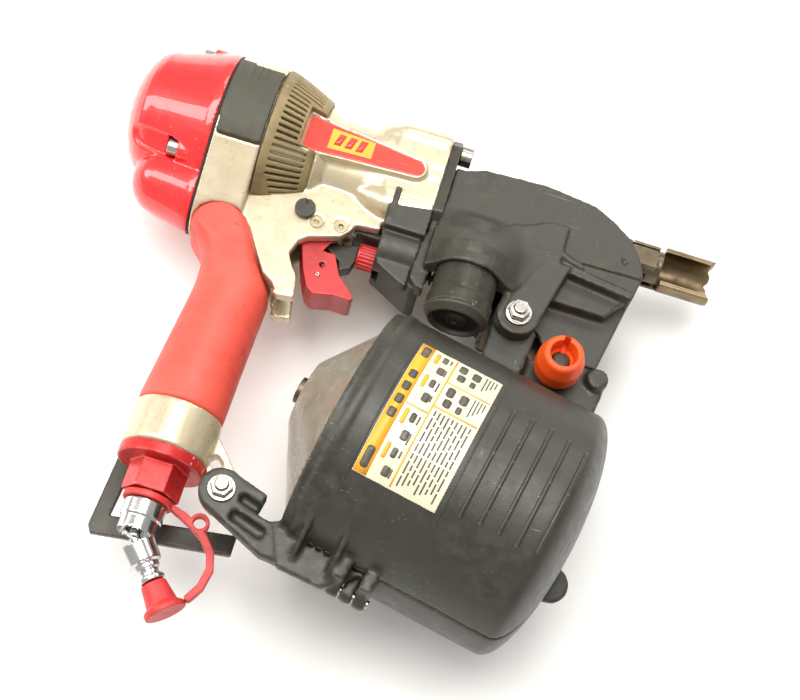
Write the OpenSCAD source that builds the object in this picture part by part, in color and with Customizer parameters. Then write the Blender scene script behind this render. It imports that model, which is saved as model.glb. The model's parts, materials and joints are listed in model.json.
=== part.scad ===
// Pneumatic coil nail gun, millimetres.
// Tool frame: X runs along the driver axis from the cap seam to the nose, -Y runs down the handle,
// +Z is the tool's right side. The whole tool is then laid on its left side on the floor.

/* [Tool body] */
// Outside radius of the head casting
head_r = 40; // [39:0.5:41]
// Radius of the casting's lobe over the handle root
lobe_r = 20; // [19:0.5:21]
// Distance of the lobe from the driver axis
lobe_drop = 38; // [36:0.5:40]
// Length of the casting from the cap seam to the front plate
housing_len = 112; // [110:0.5:114]
// Outside radius of the barrel
barrel_r = 24.5; // [24:0.25:26]
// Height of the cap behind its seam
cap_h = 47; // [45:0.5:49]

/* [Drive] */
// Bore radius of the cylinder sleeve
bore_r = 17.5; // [17:0.25:18]
// Wall of the cylinder sleeve
sleeve_t = 2.5; // [2:0.25:2.5]
// Radius of the driver blade
driver_r = 3.2; // [2.8:0.1:3.2]
// Running clearance between a shaft and its bore
fit = 0.05; // [0.03:0.01:0.08]

/* [Handle] */
// Distance of the handle axis from the cap seam
handle_x = 28.5; // [28:0.25:29.5]
// Outside radius of the rubber grip
grip_r = 20.5; // [20:0.25:21]
// Distance from the driver axis to the grip's lower end
grip_end = 150; // [148:0.5:152]
// Distance from the driver axis to the end of the handle casting
handle_end = 172; // [170:0.5:173]

/* [Magazine] */
// Outside radius of the coil canister
mag_r = 61.5; // [60:0.5:61.5]
// Length of the canister along its axis
mag_len = 112; // [110:0.5:113]
// Tilt of the canister axis from the driver axis
mag_tilt = 11.5; // [11:0.5:12]
// Wall of the canister
mag_t = 2.5; // [2:0.25:3]

/* [Nose] */
// Distance from the cap seam to the nose tip
nose_tip = 229; // [227:0.5:231]

/* [Hidden] */
$fn = 72;

// The tool lies on its canister and on its head, so its mid-plane leans by this much.
head_side = 41.5;
rim_r = mag_r + 0.9;
mag_origin = [109, -135, 0];
rim_u = -4;
lie_angle = asin((rim_r - head_side) / (rim_u * sin(mag_tilt) - mag_origin[1]));
origin_shift = [-104.5, 101.8, head_side];

// Colours
red = "#d8302c";
grip_red = "#c8483c";
gold = "#c9bb98";
bronze = "#93845f";
black = "#2e2d29";
steel = "#9a9a98";
dark_steel = "#5a564f";
chrome = "#c8ccd0";
orange = "#f0641e";

gap = 0.3;
thread_gap = 0.1;
front_x = housing_len;
plate_t = 5;
cover_x = front_x + plate_t + gap;
sleeve_r = bore_r + sleeve_t;
sleeve_x0 = -4;
sleeve_x1 = 92;
piston_x0 = -3;
piston_x1 = 8;
blade_x1 = 147;
chamber_r = 30.5;
ring_end = 24.5;

// Bolt places, as [y, z]
cap_bolt_places = [for (y = [27, -27]) for (z = [20, -20]) [y, z]];
front_bolt_places = [for (y = [-20, 18]) for (z = [-17, 17]) [y, z]];

// Trigger group
cheek_in = 9.3;
cheek_out = 15;
slot_top = -33;
trigger_pivot = [72, -38.5];
rivet_at = [68.2, -64.2];
valve_x = 63;
knob_at = [53, -36];
keeper_at = [60, -40];
dial_y = -43.5;
neck_r = 2.5;

// Air plug below the handle
flange_end = 177.5;
hex_end = 191.5;
plug_top = 192;
knee_d = 212;
plug_angle = 49;
hook_pivot = [handle_x, -163];

// Magazine frame: origin on the canister axis at its nail-head end
split_z = 2.5;
split_lean = 11.5;
mag_hinge = [-69, 4];
mag_in = mag_r - mag_t;
// Place and radius of the foot under the canister, level with the rim and the head
foot_u = 80;
foot_r = (foot_u * sin(mag_tilt) - mag_origin[1]) * sin(lie_angle) + head_side;
arm_bolt = [59, -182];
nose_bolt = [165, -60];
tip_peg = [190, -77];

// Feeder
feed_x = 137;
feed_z = 24;
feed_bore = 10;

// ---------- helpers ----------
module in_tool() {
    translate(origin_shift) rotate([-lie_angle, 0, 0]) children();
}
module in_magazine() {
    translate(mag_origin) rotate([0, 0, -mag_tilt]) children();
}
module xrod(x0, x1, r, y = 0, z = 0) {
    translate([x0, y, z]) rotate([0, 90, 0]) cylinder(h = x1 - x0, r = r);
}
module yrod(y0, y1, r, x = 0, z = 0) {
    translate([x, y1, z]) rotate([90, 0, 0]) cylinder(h = y1 - y0, r = r);
}
module zrod(z0, z1, r, x = 0, y = 0) {
    translate([x, y, z0]) cylinder(h = z1 - z0, r = r);
}
// Solid of revolution about the driver axis, points are [radius, x]
module xturn(points) {
    rotate([0, 90, 0]) rotate_extrude() polygon(points);
}
// Solid of revolution about an axis down the handle, points are [radius, distance down]
module yturn(points, x = 0, z = 0) {
    translate([x, 0, z]) rotate([90, 0, 0]) rotate_extrude() polygon(points);
}
// Slab across X, drawn in [y, z]
module xslab(x0, x1) {
    translate([x0, 0, 0]) rotate([90, 0, 90]) linear_extrude(x1 - x0) children();
}
// Slab across Z, drawn in [x, y]
module zslab(z0, z1) {
    translate([0, 0, z0]) linear_extrude(z1 - z0) children();
}
module box(lo, hi) {
    translate(lo) cube(hi - lo);
}
// Hexagon socket, along X or Z
module hex_socket(af, depth) {
    cylinder(h = depth, r = af / sqrt(3), $fn = 6);
}
// Two circles and their common tangents, the big one at the origin, in [y, z]
module teardrop(big, small, drop) {
    a = acos((big - small) / drop);
    // how far the sides lie inside the tangents, so that they cross both circles cleanly
    inset = 0.05;
    circle(big);
    translate([-drop, 0]) circle(small);
    polygon([for (s = [1, -1]) for (p = s > 0 ? [[0, big - inset], [drop, small - inset]] :
            [[drop, small - inset], [0, big - inset]])
        [-p[0] - p[1] * cos(a), s * p[1] * sin(a)]]);
}
// Helical spring along +Z from the origin
module coil(r, wire, h, turns, steps = 14, sides = 6) {
    n = turns * steps;
    ring = [for (i = [0 : n]) for (k = [0 : sides - 1])
        let (a = 360 * i / steps, b = 360 * k / sides, q = r + wire * cos(b))
        [q * cos(a), q * sin(a), wire + (h - 2 * wire) * i / n + wire * sin(b)]];
    walls = [for (i = [0 : n - 1]) for (k = [0 : sides - 1])
        let (a = i * sides + k, b = i * sides + (k + 1) % sides)
        each [[a, b, a + sides], [b, b + sides, a + sides]]];
    ends = [[for (k = [sides - 1 : -1 : 0]) k], [for (k = [0 : sides - 1]) n * sides + k]];
    polyhedron(ring, concat(walls, ends), convexity = 8);
}
function arc(cx, cy, r, a0, a1, n = 6) =
    [for (i = [0 : n]) let (a = a0 + (a1 - a0) * i / n) [cx + r * cos(a), cy + r * sin(a)]];

// ---------- head ----------
dome = concat([[0, -cap_h]], [for (i = [1 : 8]) let (t = i / 8)
    [head_r * 0.82 * sin(90 * t), -cap_h + 17 * (1 - cos(90 * t))]], [[head_r * 0.93, -14], [head_r, -4]]);

module head_cap() {
    color(red) difference() {
        union() {
            xturn(concat(dome, [[head_r, 0], [0, 0]]));
            hull() {
                xrod(-3, 0, lobe_r, y = -lobe_drop, $fn = 40);
                translate([-17, -36.5, 0]) sphere(17, $fn = 32);
            }
            for (p = cap_bolt_places) xrod(-14, 0, 6, y = p[0], z = p[1]);
        }
        xrod(-33, 1, chamber_r);
        xrod(-15, 1, 13, y = -lobe_drop);
        for (p = cap_bolt_places) {
            xrod(-cap_h, -14, 5.6, y = p[0], z = p[1]);
            xrod(-20, 1, 2.5 + thread_gap, y = p[0], z = p[1]);
        }
    }
    color(red) difference() {
        xrod(-33, -19, 14);
        xrod(-32, -18, 10 + fit);
    }
}
module cap_bolts() {
    color(steel) for (p = cap_bolt_places) translate([-14, p[0], p[1]]) rotate([0, 90, 0]) {
        difference() {
            translate([0, 0, -5]) cylinder(h = 5, r = 4.25);
            translate([0, 0, -5.1]) hex_socket(4, 3);
        }
        cylinder(h = 28, r = 2.5);
    }
}
module cap_gasket() {
    color(black) difference() {
        xslab(0, 1) teardrop(head_r - 0.4, lobe_r - 0.4, lobe_drop);
        xrod(-1, 2, chamber_r + 0.1);
        xrod(-1, 2, 13, y = -lobe_drop);
        for (p = cap_bolt_places) xrod(-1, 2, 2.5 + thread_gap, y = p[0], z = p[1]);
    }
}
module head_valve() {
    color(black) difference() {
        xturn([[0, -27], [10, -27], [10, -10], [24, -10], [24, -6.5], [22, -4.3], [15, -4.3],
            [15, -7], [0, -7]]);
        xrod(-28, -12, 6);
    }
}
module head_valve_spring() {
    color(steel) translate([-18.9, 0, 0]) rotate([0, 90, 0]) coil(12.4, 0.9, 8.8, 3);
}
module cylinder_sleeve() {
    color(steel) difference() {
        xrod(sleeve_x0, sleeve_x1, sleeve_r);
        xrod(sleeve_x0 - 1, sleeve_x1 + 1, bore_r);
        for (x = [60, 84]) seal_ring(x, sleeve_r - 1.2, sleeve_r + 1);
    }
}
module seal_ring(x, r0, r1) {
    xturn([[r0, x], [r1, x], [r1, x + 2], [r0, x + 2]]);
}
module sleeve_seals() {
    color(black) for (x = [60, 84]) seal_ring(x, sleeve_r - 1.2, sleeve_r + 0.25);
}
module piston() {
    r = bore_r - fit;
    color(steel) xturn([[0, piston_x0 + 3], [11, piston_x0 + 3], [13, piston_x0], [r, piston_x0],
        [r, piston_x0 + 3], [r - 1.5, piston_x0 + 3], [r - 1.5, piston_x0 + 5], [r, piston_x0 + 5],
        [r, piston_x1 - 1], [r - 1, piston_x1], [0, piston_x1]]);
}
module driver_blade() {
    color(dark_steel) xrod(piston_x1, blade_x1, driver_r);
}
module bumper() {
    color(black) xturn([[6, sleeve_x1 + 0.2], [12, sleeve_x1 + 0.2], [15, sleeve_x1 + 3],
        [sleeve_r, sleeve_x1 + 5], [sleeve_r, front_x], [6, front_x]]);
}

// ---------- housing ----------
// Side outline of the grip's upper end, where it wraps the handle root
grip_bulb = [[13.2, -92], [13.6, -80], [14, -68], [9, -64.5], [4.5, -62], [2.6, -58], [2.6, -54], [5, -50],
    [9.5, -47.5], [16, -46.5], [22, -47], [27, -49.5], [31, -54], [36.5, -63.3], [43.8, -74.5], [50, -78.5],
    [51.5, -81], [50.5, -84], [50, -92]];
core_r = 13.5;

// Outer shape of the rubber grip
module grip_shape(extra = 0) {
    hull() {
        yrod(-85, -84, 18.2 + extra, x = 31.9, $fn = 64);
        yrod(-grip_end, -grip_end + 1, grip_r + extra, x = handle_x, $fn = 64);
    }
    intersection() {
        zslab(-19 - extra, 19 + extra) offset(delta = extra) polygon(grip_bulb);
        xrod(-1, 60, 26 + extra, y = -66);
    }
}
// Casting under the grip
module handle_core(extra = 0) {
    yrod(-grip_end - 1, -40, core_r + extra, x = handle_x);
}
bracket_side = [[14, -20], [112, -10], [112, -33.2], [90.7, -34.2], [79.1, -35.5], [77.3, -39], [73.5, -44.1],
    [58.7, -49.3], [54.9, -53], [52.7, -60.7], [55.7, -66.1], [59.2, -70.8], [60.2, -74.1], [61.7, -82.6],
    [53.7, -84], [46, -80], [36, -88], [14, -60]];

module housing() {
    color(gold) difference() {
        union() {
            xslab(1, ring_end) teardrop(head_r, lobe_r, lobe_drop);
            xturn([[0, ring_end], [head_r - 3.5, ring_end], [28, 50], [0, 50]]);
            xturn([[0, 50], [30, 50], [barrel_r, 56], [barrel_r, front_x], [0, front_x]]);
            zslab(-cheek_out, cheek_out) polygon(bracket_side);
            for (p = front_bolt_places) {
                xrod(86, front_x, 7, y = p[0], z = p[1]);
                translate([76, p[0] * 0.7, p[1] * 0.7]) sphere(6.5);
            }
            xslab(86, front_x) polygon([[-27, -17], [-20, -24], [18, -24], [25, -17],
                [25, 17], [18, 24], [-20, 24], [-27, 17]]);
            handle_core();
            yturn([[0, grip_end], [grip_r + 0.2, grip_end], [grip_r + 0.4, handle_end - 1],
                [grip_r - 0.6, handle_end], [0, handle_end]], x = handle_x);
            hull() for (p = [[44, -163, 9], [58, -176, 7]]) zrod(-4, 3.8, p[2], x = p[0], y = p[1], $fn = 32);
            zrod(-4, 3.8, 9, x = arm_bolt[0], y = arm_bolt[1]);
            zrod(-24.7, -15, 7, x = hook_pivot[0], y = hook_pivot[1]);
        }
        // driver chambers
        xturn([[0, 0], [chamber_r, 0], [chamber_r, 18], [22, 44], [sleeve_r + 0.3, 47],
            [sleeve_r + 0.3, front_x + 1], [0, front_x + 1]]);
        // air passage through the handle
        yrod(-handle_end - 1, -26, core_r - 3, x = handle_x);
        yrod(-handle_end - 1, -handle_end + 12.5, 12.5, x = handle_x);
        yrod(-flange_end, -handle_end, grip_r + 0.3, x = handle_x);
        xrod(0, 30, 13, y = -lobe_drop);
        difference() {
            grip_shape(0.1);
            handle_core();
        }
        for (p = cap_bolt_places) xrod(0, 16, 2.5 + thread_gap, y = p[0], z = p[1]);
        for (p = front_bolt_places) xrod(98, front_x + 1, 3 + thread_gap, y = p[0], z = p[1]);
        // side pad pockets
        for (s = [1, -1]) pad_block(s, 0.1);
        // trigger slot
        box([50, -100, -cheek_in], [120, slot_top, cheek_in]);
        box([90.5, -60, -20], [120, -29.5, 20]);
        yrod(slot_top - 1, -21, 6 + thread_gap, x = valve_x);
        zrod(-20, 20, 2 + thread_gap, x = trigger_pivot[0], y = trigger_pivot[1]);
        zrod(13.9, 20, 3.6, x = trigger_pivot[0], y = trigger_pivot[1]);
        zrod(-20, 20, 2.5 + fit, x = knob_at[0], y = knob_at[1]);
        zrod(11, 20, 1.5 + thread_gap, x = keeper_at[0], y = keeper_at[1]);
        zrod(13.4, 20, 3.2, x = keeper_at[0], y = keeper_at[1]);
        // lug to the magazine arm
        zrod(-6, 6, 3 + thread_gap, x = arm_bolt[0], y = arm_bolt[1]);
        translate([52, -168, 0]) rotate([0, 0, -42]) cube([6, 5, 20], center = true);
        zrod(-26, -15.5, 2 + thread_gap, x = hook_pivot[0], y = hook_pivot[1]);
        nameplate_block(0.1);
    }
}
// Block that holds a side pad, on the side s
module pad_block(s, extra = 0) {
    intersection() {
        difference() {
            xrod(2.5 - extra, ring_end - 0.5 + extra, head_side);
            xrod(0, 30, head_r - 2.5);
        }
        translate([12, 1, s * 35]) cube([30, 42 + 2 * extra, 50], center = true);
    }
}
module side_pads() {
    color(black) for (s = [1, -1]) pad_block(s);
}
module exhaust_cover() {
    color(bronze) difference() {
        xturn([[head_r - 3.2, 25], [head_r + 0.2, 25], [head_r - 0.5, 29], [31.5, 49.5], [28.4, 49.5]]);
        // the casting's web passes under the cover
        box([20, -60, -cheek_out - gap], [60, -15, cheek_out + gap]);
        for (s = [1, -1]) {
            // exhaust slots, shorter beside the nameplate
            for (a = slot_angles) rotate([s * a, 0, 0])
                box([28, -60, -0.9], [abs(a - 90) < 22 ? 39 : 44, -20, 0.9]);
            // notch round the nameplate
            translate([51, -0.5, s * 35]) cube([20, 19.6, 30], center = true);
        }
    }
}
slot_angles = [for (i = [0 : 13]) 34 + 8.5 * i];
plate_outline = concat([[43, 8.5], [43, -9.5]], arc(98, -2.2, 4.5, -90, 90, 6));
module nameplate_block(extra = 0) {
    zslab(21.5 - extra, 27.5) offset(delta = extra) polygon(plate_outline);
}
module nameplate() {
    color(red) difference() {
        zslab(21.5, 27) polygon(plate_outline);
        // sunk field inside the raised edge
        zslab(26.2, 28) offset(delta = -1.2) polygon(plate_outline);
    }
}
module front_plate() {
    color(black) difference() {
        xslab(front_x, front_x + plate_t) polygon([[-28, -17], [-20, -24.5], [18, -24.5], [25.5, -17],
            [25.5, 17], [18, 24.5], [-20, 24.5], [-28, 17]]);
        xrod(front_x - 1, front_x + 10, driver_r + 0.2);
        for (p = front_bolt_places) xrod(front_x - 1, front_x + 10, 3 + thread_gap, y = p[0], z = p[1]);
    }
}
module front_plate_bolts() {
    color(steel) for (p = front_bolt_places) translate([front_x + plate_t, p[0], p[1]]) rotate([0, 90, 0]) {
        difference() {
            cylinder(h = 6, r = 5);
            translate([0, 0, 3]) hex_socket(5, 4);
        }
        translate([0, 0, -18]) cylinder(h = 18, r = 3);
    }
}
module rubber_grip() {
    color(grip_red) difference() {
        grip_shape();
        handle_core(0.1);
        box([-10, -60, -40], [2.6, -40, 40]);
    }
}
module inlet_fitting() {
    color(red) difference() {
        union() {
            yrod(-flange_end, -handle_end, grip_r, x = handle_x);
            yrod(-handle_end, -handle_end + 12, 12.4, x = handle_x);
            yrod(-hex_end, -flange_end, 13.6, x = handle_x, $fn = 6);
        }
        yrod(-hex_end - 1, -handle_end + 13, 6 + fit, x = handle_x);
    }
}

// ---------- air plug ----------
module at_knee() {
    translate([handle_x, -knee_d, 0]) rotate([0, 0, -plug_angle]) children();
}
module air_plug() {
    color(chrome) difference() {
        union() {
            yturn([[0, plug_top - 12], [6, plug_top - 12], [6, plug_top + 3.5], [9.7, plug_top + 3.5],
                [9.7, plug_top + 11], [9, plug_top + 11.5], [9, knee_d], [0, knee_d]], x = handle_x);
            translate([handle_x, -knee_d, 0]) sphere(9);
            at_knee() rotate([0, 90, 0]) rotate_extrude() polygon([[0, 0], [8.6, 0], [7.8, 13], [6, 14],
                [6, 16], [4.6, 17], [4.6, 19], [6.1, 20], [6.1, 22], [4, 22.6], [4, 33], [0, 33]]);
        }
        yrod(-knee_d, -plug_top + 13, 3.5, x = handle_x);
        at_knee() xrod(0, 34, 2.5);
    }
}
module dust_cap() {
    color(red) at_knee() difference() {
        rotate([0, 90, 0]) rotate_extrude() polygon([[0, 22.9], [5.8, 22.9], [7.2, 33], [9.5, 35],
            [9.5, 37.5], [0, 37.5]]);
        xrod(22, 33.4, 4.3);
    }
}
// The tether's route from the plug's neck to the cap
strap_route = [[46, -196], [52, -199], [58, -203], [63, -209], [65, -216], [63.5, -225], [60, -231]];
module cap_strap() {
    color(red) {
        difference() {
            yrod(-plug_top - 3.2, -plug_top - 0.3, 11.5, x = handle_x);
            yrod(-plug_top - 4, -plug_top + 1, 6.2, x = handle_x);
        }
        difference() {
            zslab(-2.2, 2.2) {
                polygon([[37, -192.4], [40, -192.4], [47, -194.4], [46, -198], [39.5, -195.1], [37, -195.1]]);
                for (i = [0 : len(strap_route) - 2]) strap_link(strap_route[i], strap_route[i + 1], 1.8);
                translate([54, -197]) circle(4.5);
            }
            zrod(-5, 5, 2.8, x = 54, y = -197);
        }
    }
}
module strap_link(a, b, half) {
    d = (b - a) / norm(b - a);
    n = [-d[1], d[0]] * half;
    polygon([a + n, a - n, b - n, b + n]);
    translate(a) circle(half);
    translate(b) circle(half);
}

// ---------- belt hook ----------
module belt_hook() {
    color(black) difference() {
        zslab(-29, -25) {
            polygon([[hook_pivot[0], -155], [hook_pivot[0], -171], [13, -175], [11, -198],
                [70, -189.5], [70, -199.5], [5, -208.5], [3, -205], [5, -168]]);
            translate(hook_pivot) circle(8);
        }
        zrod(-30, -24, 2 + fit, x = hook_pivot[0], y = hook_pivot[1]);
    }
}
module hook_screw() {
    color(steel) difference() {
        union() {
            zrod(-30, -16, 2, x = hook_pivot[0], y = hook_pivot[1]);
            zrod(-32, -29.1, 4.5, x = hook_pivot[0], y = hook_pivot[1]);
        }
        translate([hook_pivot[0], hook_pivot[1], -32.1]) hex_socket(3, 2);
    }
}

// ---------- trigger ----------
trigger_side = concat([[56, -50], [57, -45], [66, -36], [69, -34.6]], arc(72, -38.5, 4, 100, -50, 6),
    [[69.5, -46], [67.2, -50.9], [73.3, -51.1], [75.3, -55.1], [78.2, -61], [86.8, -69]],
    arc(86.2, -70.8, 1.8, 60, -80, 4), [[78.4, -72.4], [69, -74.7], [64.9, -72], [60.4, -62.6]]);
module trigger() {
    color(red) difference() {
        zslab(-9, 9) polygon(trigger_side);
        zslab(-7.2, 7.2) polygon([[40, -30], [90, -30], [90, -57.3], [74, -57.3], [76.2, -62], [84.4, -69.8],
            [78.2, -70.4], [69.3, -72.6], [66.5, -70.5], [40, -66]]);
        zrod(-10, 10, 2 + fit, x = trigger_pivot[0], y = trigger_pivot[1]);
        zrod(-10, 10, 1 + fit, x = rivet_at[0], y = rivet_at[1]);
        zrod(6, 10, 1.4, x = 68.9, y = -58.4);
    }
}
module trigger_pin() {
    color(steel) difference() {
        union() {
            zrod(-14.5, 14, 2, x = trigger_pivot[0], y = trigger_pivot[1]);
            zrod(14, 15, 3.5, x = trigger_pivot[0], y = trigger_pivot[1]);
        }
        translate([trigger_pivot[0], trigger_pivot[1], 13]) hex_socket(2.2, 3);
    }
}
module trigger_lever() {
    color(steel) difference() {
        zslab(-3, 3) {
            polygon([[66, -66], [58, -52], [58, -49.2], [62, -49.2], [64.5, -52.5], [70.8, -64]]);
            translate(rivet_at) circle(2.6);
        }
        zrod(-4, 4, 1 + fit, x = rivet_at[0], y = rivet_at[1]);
    }
}
module lever_rivet() {
    color(steel) difference() {
        zrod(-9.4, 9.4, 1, x = rivet_at[0], y = rivet_at[1]);
        zrod(8, 10, 0.5, x = rivet_at[0], y = rivet_at[1]);
    }
}
module trigger_valve_body() {
    color(dark_steel) difference() {
        yrod(-41.8, -21.5, 6, x = valve_x);
        yrod(-40.3, -23, 3.5, x = valve_x);
        yrod(-45, -40, 1.5 + fit, x = valve_x);
    }
}
module trigger_valve_stem() {
    color(steel) yturn([[0, 36], [3.4, 36], [3.4, 38], [1.5, 38], [1.5, 48.6], [0, 48.6]], x = valve_x);
}
module trigger_valve_spring() {
    color(steel) translate([valve_x, -35.8, 0]) rotate([-90, 0, 0]) coil(2.6, 0.5, 12.6, 5, 10);
}
module mode_knob() {
    color(black) difference() {
        union() {
            zrod(15.2, 18.2, 5, x = knob_at[0], y = knob_at[1]);
            zrod(-14.5, 15.2, 2.5, x = knob_at[0], y = knob_at[1]);
        }
        box([knob_at[0] - 0.5, knob_at[1] + 2.2, 17.4], [knob_at[0] + 0.5, knob_at[1] + 6, 19]);
    }
}
module keeper_screw() {
    color(steel) difference() {
        union() {
            zrod(11, 13.4, 1.5, x = keeper_at[0], y = keeper_at[1]);
            zrod(13.4, 14.9, 3.1, x = keeper_at[0], y = keeper_at[1]);
        }
        translate([keeper_at[0], keeper_at[1], 13.9]) hex_socket(2, 2);
    }
}

// ---------- contact arm ----------
module contact_arm() {
    color(black) difference() {
        zslab(-4, 4) polygon([[67, -46], [67.5, -42.4], [77.5, -42.4], [79, -41], [83, -40.6], [83, -49],
            [81.7, -53.4], [77, -56], [75.5, -51]]);
        xrod(78, 84, neck_r + fit, y = dial_y);
        // fork that straddles the valve stem
        box([60, -60, -2], [76.5, -40, 2]);
    }
}
module depth_dial() {
    color(red) difference() {
        union() {
            xrod(83.3, 92.3, 6.5, y = dial_y);
            xrod(79, 83.3, neck_r, y = dial_y);
        }
        for (i = [0 : 19]) translate([0, dial_y, 0]) rotate([18 * i, 0, 0])
            translate([84.3, 6, -0.4]) cube([9, 2, 0.8]);
        xrod(80, 94, 1.5 + fit, y = dial_y);
    }
}
module contact_foot() {
    color(dark_steel) {
        xrod(84, 132, 1.5, y = dial_y);
        xrod(127, 132, 4, y = dial_y);
        box([127, dial_y - 4, -12.5], [132, dial_y + 4, 0]);
        zslab(-12.5, -10.5) polygon([[127, dial_y - 4], [132, dial_y - 4], [150, -6], [234, -6],
            [234, 6], [146, 6], [127, dial_y + 4]]);
        difference() {
            xrod(230, 256, 11.5);
            xrod(229, 257, 9);
            box([228, -14, 4], [258, 14, 14]);
            for (i = [0 : 3]) translate([256, -9 + 6 * i, 0]) rotate([0, 0, 45])
                cube([3, 3, 30], center = true);
        }
    }
}
module contact_spring() {
    color(steel) translate([106.2, dial_y, 0]) rotate([0, 90, 0]) coil(3.4, 0.6, 20.6, 8, 10);
}
module arm_guide() {
    color(black) difference() {
        union() {
            zslab(-14, 15.5) polygon([[92, -29.7], [92, -49], [112.5, -60], [cover_x - gap, -60],
                [cover_x - gap, -29.7]]);
            // finger over the front lug
            box([92, -33, 13], [95, -29.7, 26]);
            box([92, -33, 24.4], [95, -14, 26]);
            // tongue over the depth dial
            box([78.5, -36.2, -9], [93, -33.3, 9]);
            for (s = [1, -1]) box([78.5, -39, s * 8 - 1], [93, -33.3, s * 8 + 1]);
        }
        box([92.9, -50.5, -8], [103, -36.5, 8]);
        box([106, -51.5, -8.5], [cover_x + 1, -36.5, 8.5]);
        xrod(102, 107, 1.5 + fit, y = dial_y);
        box([91, -40, -7], [95, -47, 7]);
        xrod(91, 95, 7.2, y = dial_y);
        box([front_x - gap, -29, -30], [cover_x, 0, 30]);
    }
}

// ---------- nose ----------
function lean(x0, y0, y) = x0 + (y - y0) * tan(mag_tilt);
nose_side = [[cover_x, 8], [122, 8], [131, 11.5], [162, 13.5], [188, 10.5], [199, 5], [209, -2], [215, -10],
    [219, -20], [lean(219, -20, -34), -34], [183, -30], [177, -24], [158, -30], [154, -43], [cover_x, -43]];
module nose_body() {
    color(dark_steel) difference() {
        union() {
            box([cover_x - gap, -5, -9], [130, 5, 9]);
            box([129, -7.5, -9], [150, 7.5, 9]);
            box([149, -6.5, -9], [sleeve_x, 6.5, 9]);
            xrod(205, sleeve_x, nose_r);
        }
        nail_channel();
    }
}
sleeve_x = 212;
nose_r = 8.4;
mouth_len = 7;
// Round end of the nose, with a wider mouth where the nail leaves it
module nose_sleeve() {
    color(dark_steel) difference() {
        union() {
            xrod(sleeve_x, nose_tip, nose_r);
            box([sleeve_x, -6, 6], [nose_tip - 3, 6, 10]);
        }
        nail_channel();
        xrod(nose_tip - mouth_len, nose_tip + 1, driver_r + 0.6);
        box([sleeve_x, -4.5, 8.6], [nose_tip, 4.5, 12]);
    }
}
// Bore that the nails pass through, open on the door's side
module nail_channel() {
    xrod(cover_x - 1, nose_tip + 1, driver_r + 0.4);
    box([150, -12, -9.1], [nose_tip - mouth_len, 0, driver_r + 0.4]);
}
module nose_cover() {
    color(black) difference() {
        union() {
            zslab(-18, 22) polygon(nose_side);
            yrod(-44, -16, 17.5, x = feed_x, z = feed_z);
            // throat plate, raised over the pawl's travel
            zslab(5, 9) polygon([[158, -28], [lean(219, -20, -28), -28], [lean(219, -20, -69), -69],
                [184, -69], [178, -60], [158, -50]]);
            zslab(5, 16) polygon([[158, -28], [lean(219, -20, -28), -28], [lean(219, -20, -44) - 8, -44],
                [158, -44]]);
            // arm down to the magazine bolt
            zslab(15.2, 23.5) {
                polygon([[160, -22], [185, -22], [178, -50], [175.5, -60], [154.5, -60], [157, -45]]);
                translate(nose_bolt) circle(10.5);
            }
        }
        // cavity
        zslab(-19, 19.5) polygon([[cover_x - 1, 5.5], [123, 5.5], [132, 9], [162, 11], [187, 8], [197, 3],
            [206, -3.5], [211.5, -11], [215, -20], [lean(219, -20, -28) - 3, -28], [157, -28], [157, -50],
            [cover_x - 1, -50]]);
        box([150, -41.5, -19], [200, -12, 14]);
        box([188, -10.5, -19], [230, 14, 12]);
        yrod(-45, -19, feed_bore + 5.2, x = feed_x, z = feed_z);
        box([150, -90, -30], [230, -27.9, 4.9]);
        for (p = front_bolt_places) xrod(cover_x - 1, cover_x + 8, 5.8, y = p[0], z = p[1]);
        zrod(10, 30, 3 + thread_gap, x = nose_bolt[0], y = nose_bolt[1]);
    }
}
module nose_door() {
    color(dark_steel) difference() {
        union() {
            zslab(-8.4, -5.4) polygon([[152, -70], [152, -12], [206, -12], [210.5, -20],
                [lean(219, -20, -70) - 4, -70]]);
            yrod(-62, -52, 3.2, x = 152, z = -9);
            yrod(-30, -20, 3.2, x = 152, z = -9);
        }
        yrod(-80, 0, 1.5 + fit, x = 152, z = -9);
    }
}
module door_pin() {
    color(steel) yrod(-68, -14, 1.5, x = 152, z = -9);
}
module door_latch() {
    color(dark_steel) difference() {
        union() {
            zslab(-12.4, -8.6) polygon([[196, -46], [196, -34], [211, -34], [lean(219, -20, -46) - 3, -46]]);
            zrod(-13.4, -8.6, 4, x = 200, y = -40);
        }
        zrod(-14, -8, 0.9, x = 200, y = -40);
    }
}

// ---------- feeder ----------
module feeder_cylinder() {
    color(black) difference() {
        yturn([[0, 40], [15, 40], [15, 63], [15.6, 64], [15.6, 70.5], [0, 70.5]], x = feed_x, z = feed_z);
        yrod(-71, -43.5, feed_bore, x = feed_x, z = feed_z);
        yrod(-44, -39, 3.5 + fit, x = feed_x, z = feed_z);
    }
}
module feeder_cap() {
    color(black) difference() {
        yturn([[0, 70.5], [15.6, 70.5], [15.6, 72], [12.8, 75.3], [12, 75.3], [11, 73], [6, 73], [4.5, 74.4],
            [0, 74.8]], x = feed_x, z = feed_z);
        yrod(-76, -73.5, 1.6, x = feed_x, z = feed_z);
    }
}
module feed_piston() {
    color(steel) {
        yturn([[0, 22], [3.5, 22], [3.5, 46], [feed_bore - fit, 46], [feed_bore - fit, 52], [0, 52]],
            x = feed_x, z = feed_z);
        box([133.5, -26, 11], [140.5, -22, 26]);
        difference() {
            union() {
                box([133.5, -27, 10.8], [197, -20, 13.4]);
                for (x = [155, 192]) box([x, -26.5, 5.2], [x + 4, -20.5, 11]);
            }
            xrod(150, 200, 1.5 + fit, y = -23.5, z = 7.6);
        }
    }
}
module feed_spring() {
    color(steel) translate([feed_x, -70.4, feed_z]) rotate([-90, 0, 0]) coil(7.5, 1, 18.3, 5);
}
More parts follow.
